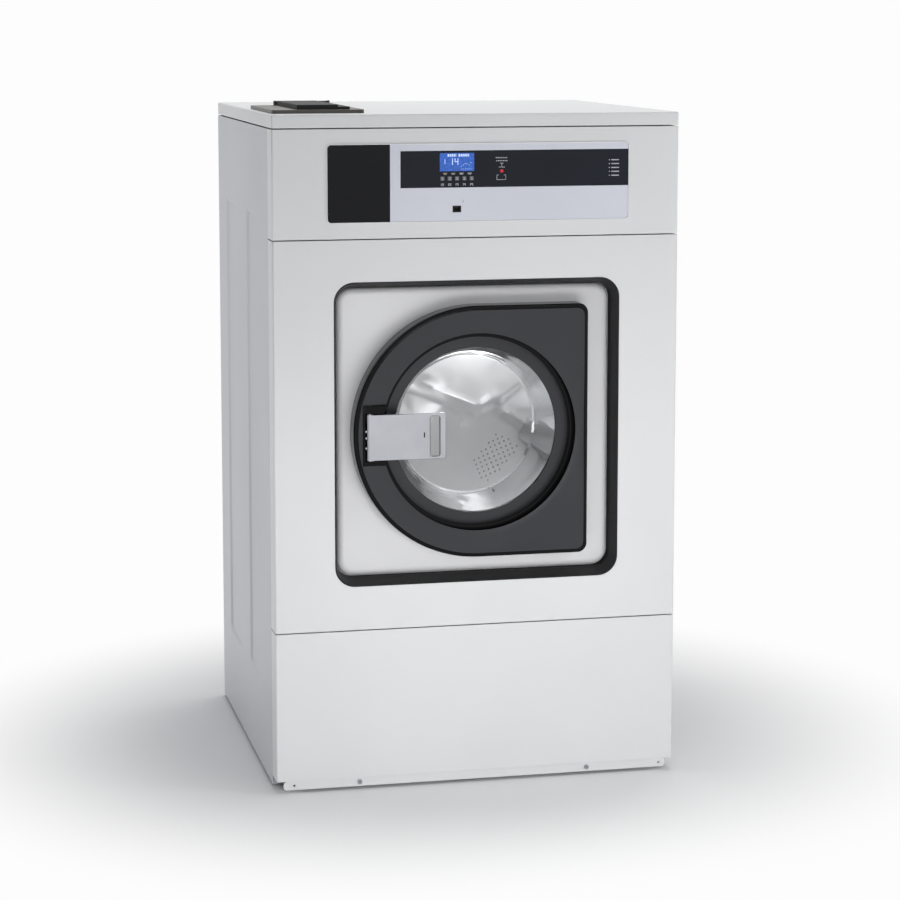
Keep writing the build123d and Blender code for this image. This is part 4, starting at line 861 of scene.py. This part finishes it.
def screen():
    """Lit screen in its window, with a bar of small characters, figures and a curve of dots."""
    glass = block("screen_face", SCREEN_SPAN, (-0.98, -0.72), SCREEN_RISE)
    pick(glass, "FACE", is_front)
    bpy.ops.mesh.inset(thickness=0.8 * MM)
    bpy.ops.transform.translate(value=(0, 0.1 * MM, 0))
    round_edges(glass, 0.06, 1)
    done(glass, "casing", SCREEN_LIT, "board")

    widths = (2.6, 2.2, 2.6, 2.2, 1.4, 0.0, 2.6, 2.2, 2.4, 2.0, 2.6, 1.6)
    start = -52.5
    spans = []
    for number, width in enumerate(widths):
        if width:
            spans.append(((start, start + width), (1066.6, 1070.4)))
            spans.append(((start, start + width * 0.55), (1065.7, 1066.6)))
        start += width + (0.9 if number != 5 else 3.0)
    spans += seven_bars("bc", -60.0, 1054.0, 3.4, 8.6, 1.0)
    spans += seven_bars("ef", -57.6, 1054.0, 3.4, 8.6, 0.5)
    spans += seven_bars("bc", -47.8, 1052.4, 4.2, 10.6, 1.3)
    spans += seven_bars("bcfg", -40.6, 1052.4, 6.2, 10.6, 1.3)
    for step in range(6):
        left = -30.0 + 3.3 * step
        top = 1049.0 + (0.0, 2.6, 4.4, 4.4, 2.2, 6.0)[step]
        spans.append(((left, left + 0.9), (top, top + 1.4)))
        spans.append(((left, left + 1.6), (1045.2, 1045.8)))
    marks = strokes("screen_characters", spans, (-1.04, -0.9))
    done(marks, "casing", SCREEN_CHARACTERS, "board")

    for number in range(4):
        left = -60.5 + 13.9 * number
        wide = strokes(
            f"screen_caption_{number + 1}",
            [((left, left + 7.2), (1037.9, 1039.2)), ((left + 1.2, left + 6.0), (1036.3, 1037.3))],
            PRINT,
        )
        done(wide, "casing", INK_WARM if number < 2 else INK_GREY, "overlay_light")


def key_captions():
    """Small pictures printed under the keys, and the ones on their caps."""
    for number in range(5):
        middle = KEY_START + KEY_STEP * number
        rows = [
            ((middle - 2.4, middle + 2.4), (1021.2, 1021.9)),
            ((middle - 2.4, middle - 1.5), (1017.8, 1021.2)),
            ((middle - 0.5, middle + 0.6), (1017.8 + 0.4 * number, 1020.6)),
            ((middle + 1.5, middle + 2.4), (1017.8, 1021.2)),
        ]
        piece = strokes(f"key_caption_{number + 1}", rows, PRINT)
        done(piece, "casing", INK_GREY, "overlay_light")
        cap = [
            ((middle - 2.2, middle + 2.2), (1031.3, 1032.0)),
            ((middle - 2.2, middle + 2.2), (1028.0, 1028.7)),
            ((middle - 0.4, middle + 0.4), (1028.7, 1031.3)),
        ]
        sign = strokes(f"key_sign_{number + 1}", cap, (-1.68, -1.58))
        done(sign, f"key_{number + 1}", INK_GREY, "overlay_light")


def reader():
    """Card reader print: lines, a stem, a red lamp and a tray."""
    left = 29.2
    spans = []
    for row, (count, top) in enumerate(((7, 1062.6), (7, 1057.6))):
        for number in range(count):
            start = left + 2.9 * number + 0.6 * row
            spans.append(((start, start + 1.9), (top, top + 1.7)))
    spans.append(((36.6, 42.4), (1053.8, 1054.8)))
    spans.append(((39.0, 40.0), (1049.4, 1053.8)))
    for number in range(4):
        start = 34.4 + 2.7 * number
        spans.append(((start, start + 1.7), (1047.2, 1048.7)))
    spans.append(((30.7, 31.5), (1026.8, 1035.2)))
    spans.append(((45.9, 46.7), (1026.8, 1035.2)))
    spans.append(((31.5, 45.9), (1026.8, 1027.6)))
    spans.append(((31.5, 34.4), (1034.4, 1035.2)))
    spans.append(((43.0, 45.9), (1034.4, 1035.2)))
    print_piece = strokes("reader_print", spans, PRINT)
    done(print_piece, "casing", INK_GREY, "overlay_light")

    lamp = rod("reader_lamp", 39.3, 1041.4, 3.0, (-1.5, -0.98), 32)
    pick(lamp, "FACE", is_front)
    bpy.ops.mesh.inset(thickness=0.9 * MM)
    bpy.ops.transform.translate(value=(0, -0.45 * MM, 0))
    round_edges(lamp, 0.15, 2)
    done(lamp, "casing", LAMP_RED, "black_gloss")


def programme_list():
    """Plain list at the right end: even lines, each a small square and a short bar."""
    left, lowest = LIST_CORNER
    spans = []
    for row in range(5):
        low = lowest + 6.5 * row
        spans.append(((left, left + 1.7), (low, low + 1.7)))
        spans.append(((left + 4.2, left + 17.6), (low, low + 1.7)))
    lines = strokes("programme_lines", spans, (-1.08, -0.99))
    done(lines, "casing", INK_GREY, "overlay_light")


def port_mark():
    """Tiny mark over the service port, and the tongue inside it."""
    spans = [((-27.4, -25.4), (990.6, 991.5)), ((-26.9, -25.9), (991.5, 994.6))]
    tick = strokes("port_mark", spans, (-1.07, -0.99))
    done(tick, "casing", INK_SHADE, "overlay_light")
    tongue = block("port_tongue", (-40.4, -33.4), (3.0, 12.0), (980.6, 981.9))
    pick(tongue, "FACE", is_front)
    bpy.ops.mesh.inset(thickness=0.3 * MM)
    round_edges(tongue, 0.15, 1)
    done(tongue, "casing", ABS_MATTE, "black_matte")


panel_rim()
blank_plate()
screen()
key_captions()
reader()
programme_list()
port_mark()

# Drum sheets: pressed back and perforated wall


def soft(value):
    """Smooth step from 0 to 1."""
    share = min(max(value, 0.0), 1.0)
    return share * share * (3 - 2 * share)


def crest(distance, width):
    """A rounded fold, 1 on its line and 0 beyond its width."""
    return soft(1 - abs(distance) / width)


def back_rise(x, z):
    """How far the pressed back stands forward, in millimetres: two fields with folded edges."""
    reach = math.hypot(x, z)
    above = (x - 106.0) * 0.4035 + (z + 27.0) * 0.915
    beside = (106.0 - x) * 0.546 + (z + 27.0) * 0.838
    field = 13.0 * soft((above + 24) / 24) * soft((beside + 24) / 24) * (1 - soft(above / 150))
    folds = max(crest(above, 9) * soft(beside / 6), crest(beside, 11) * soft(above / 6))
    folds *= 3.2 * soft((x - 5) / 25) * soft((135 - x) / 15)
    low = (x - 150.0) * 0.494 + (z + 38.0) * 0.869
    side = (x - 150.0) * 0.866 + (z + 38.0) * 0.5
    second = min(low, side)
    raised = 8.0 * soft((second + 18) / 20) + 1.6 * crest(second - 3, 6)
    raised *= 1 - soft((z + 38) / 50)
    lean = 13.0 * soft((z + 230) / 210)
    hub = 3.5 * soft((44 - reach) / 20)
    rim = soft((250 - reach) / 16)
    return (lean + field + folds + raised) * rim - hub


def pierced(name, columns, rows, pitch, hole, turn, chosen, fine):
    """A flat grid with a hole at every chosen grid point, alternate points only."""
    clear()
    bpy.ops.mesh.primitive_grid_add(x_subdivisions=columns, y_subdivisions=rows, size=MM)
    bpy.context.object.scale = (columns * pitch, rows * pitch, 1.0)
    piece = named(name)

    def site(place):
        """The nearest grid point."""
        column = round(place.x / (pitch * MM) + columns / 2)
        row = round(place.y / (pitch * MM) + rows / 2)
        middle = Vector(((column - columns / 2) * pitch, (row - rows / 2) * pitch, 0)) * MM
        return column, row, middle

    def is_hole(place):
        """True near a grid point that gets a hole."""
        column, row, middle = site(place)
        inside = 0 < column < columns and 0 < row < rows
        return inside and (column + row) % 2 == 0 and chosen(middle / MM)

    pick(
        piece,
        "VERT",
        lambda place: is_hole(place) and (place - site(place)[2]).length < 0.01 * MM,
    )
    bpy.ops.mesh.bevel(offset=hole * MM, offset_type="OFFSET", segments=1, affect="VERTICES")
    bpy.ops.mesh.delete(type="FACE")
    if fine:
        near = hole * 1.05 * MM
        pick(
            piece,
            "EDGE",
            lambda a, b: is_hole(a)
            and is_hole(b)
            and (a - site(a)[2]).length < near
            and (b - site(b)[2]).length < near,
        )
        bpy.ops.mesh.subdivide(number_cuts=1)
        clear()
        for vertex in piece.data.vertices:
            middle = site(vertex.co)[2]
            way = vertex.co - middle
            if is_hole(vertex.co) and way.length < near:
                vertex.co = middle + way.normalized() * hole * MM
    take(piece)
    piece.rotation_euler = (0, 0, math.radians(turn))
    bpy.ops.object.transform_apply(location=True, rotation=True, scale=True)
    return piece


def thicken(piece, thickness):
    """Gives a sheet its gauge."""
    take(piece)
    wall = piece.modifiers.new("gauge", "SOLIDIFY")
    wall.thickness = thickness * MM
    wall.offset = 0.0
    bpy.ops.object.modifier_apply(modifier="gauge")


def drum_back_sheet():
    """Pressed stainless back with a patch of fine holes at its lower right."""
    turn = -22.0
    cosine = math.cos(math.radians(turn))
    sine = math.sin(math.radians(turn))

    def in_patch(place):
        """True where the back has its fine holes."""
        x = place.x * cosine - place.y * sine
        z = place.x * sine + place.y * cosine
        angle = math.degrees(math.atan2(z, x))
        near, far = PATCH_REACH
        low, high = PATCH_ANGLES
        return near < math.hypot(x, z) < far and low < angle < high

    piece = pierced("drum_back_sheet", 81, 81, 6.6, 1.8, turn, in_patch, True)
    pick(piece, "FACE", lambda face: face.center.length > 0.2605)
    bpy.ops.mesh.delete(type="FACE")
    clear()
    for vertex in piece.data.vertices:
        x, z = vertex.co.x / MM, vertex.co.y / MM
        reach = math.hypot(x, z)
        if reach > BACK_GRID:
            x, z = x * BACK_EDGE / reach, z * BACK_EDGE / reach
        vertex.co = at(x, BACK_DEPTH - back_rise(x, z), DRUM_Z + z)
    thicken(piece, SHEET_GAUGE)
    return done(piece, "drum", STAINLESS_BACK_PAINTED_LIGHT, "stainless_bright", "drum_back")


def drum_wall_sheet():
    """Rolled and perforated stainless wall."""
    pitch = 8.0
    columns, rows = 208, 50

    def in_band(place):
        """True where the wall has holes: clear of the front edge and of the lifters."""
        around = place.x / (columns * pitch) * 360 + 180
        gaps = [abs((around - lifter + 180) % 360 - 180) for lifter in LIFTER_ANGLES]
        return place.y < HOLES_END and min(gaps) > LIFTER_CLEAR

    piece = pierced("drum_wall_sheet", columns, rows, pitch, 2.0, 0, in_band, False)
    for vertex in piece.data.vertices:
        angle = vertex.co.x / (columns * pitch * MM) * 2 * math.pi + math.pi
        depth = 270.0 + vertex.co.y / MM * 0.999
        vertex.co = at(DRUM_RADIUS * math.cos(angle), depth, DRUM_Z + DRUM_RADIUS * math.sin(angle))
    pick_all(piece, "VERT")
    bpy.ops.mesh.remove_doubles(threshold=0.02 * MM)
    thicken(piece, SHEET_GAUGE)
    return done(piece, "drum", STAINLESS_DRUM_PAINTED_LIGHT, "stainless_bright", "drum_shell")


drum_back_sheet()
drum_wall_sheet()

# Handle: the guide mark on the lever and the pin heads in its pocket


def lever_mark():
    """Short dark inlay pressed into the lever beside its finger slot."""
    piece = block("lever_mark", (-96.4, -94.2), (-15.51, -15.2), (600.5, 609.5))
    round_edges(piece, 0.9, 4, lambda a, b: abs(a.y - b.y) > 0.1 * MM)
    pick(piece, "FACE", is_front)
    bpy.ops.mesh.inset(thickness=0.35 * MM)
    bpy.ops.transform.translate(value=(0, 0.005 * MM, 0))
    return done(piece, "handle", ABS_MATTE, "black_matte")


def slot_painted_shade_lip():
    """Black lip around the finger slot, standing in for the shade inside the slot: painted shade.
    """
    piece = thin_frame("slot_painted_shade_lip", (-86.0, -68.0), (-15.46, -13.4), (568.0, 637.0), 3.5, 0.9)
    return done(piece, "handle", ABS_MATTE, "black_matte")


def pin_heads():
    """Three domed heads in the dark gap at the lever's hinge side."""
    for number, z in enumerate((613.0, 602.0, 585.0)):
        head = rod(f"pin_head_{number + 1}", -192.6, z, 1.9, (-11.6, -10.4), 24)
        pick(head, "FACE", is_front)
        bpy.ops.mesh.inset(thickness=0.7 * MM)
        bpy.ops.transform.translate(value=(0, -0.5 * MM, 0))
        bpy.ops.mesh.inset(thickness=0.5 * MM)
        bpy.ops.transform.translate(value=(0, -0.2 * MM, 0))
        done(head, "handle", ZINC_PLATED, "zinc")


lever_mark()
slot_painted_shade_lip()
pin_heads()
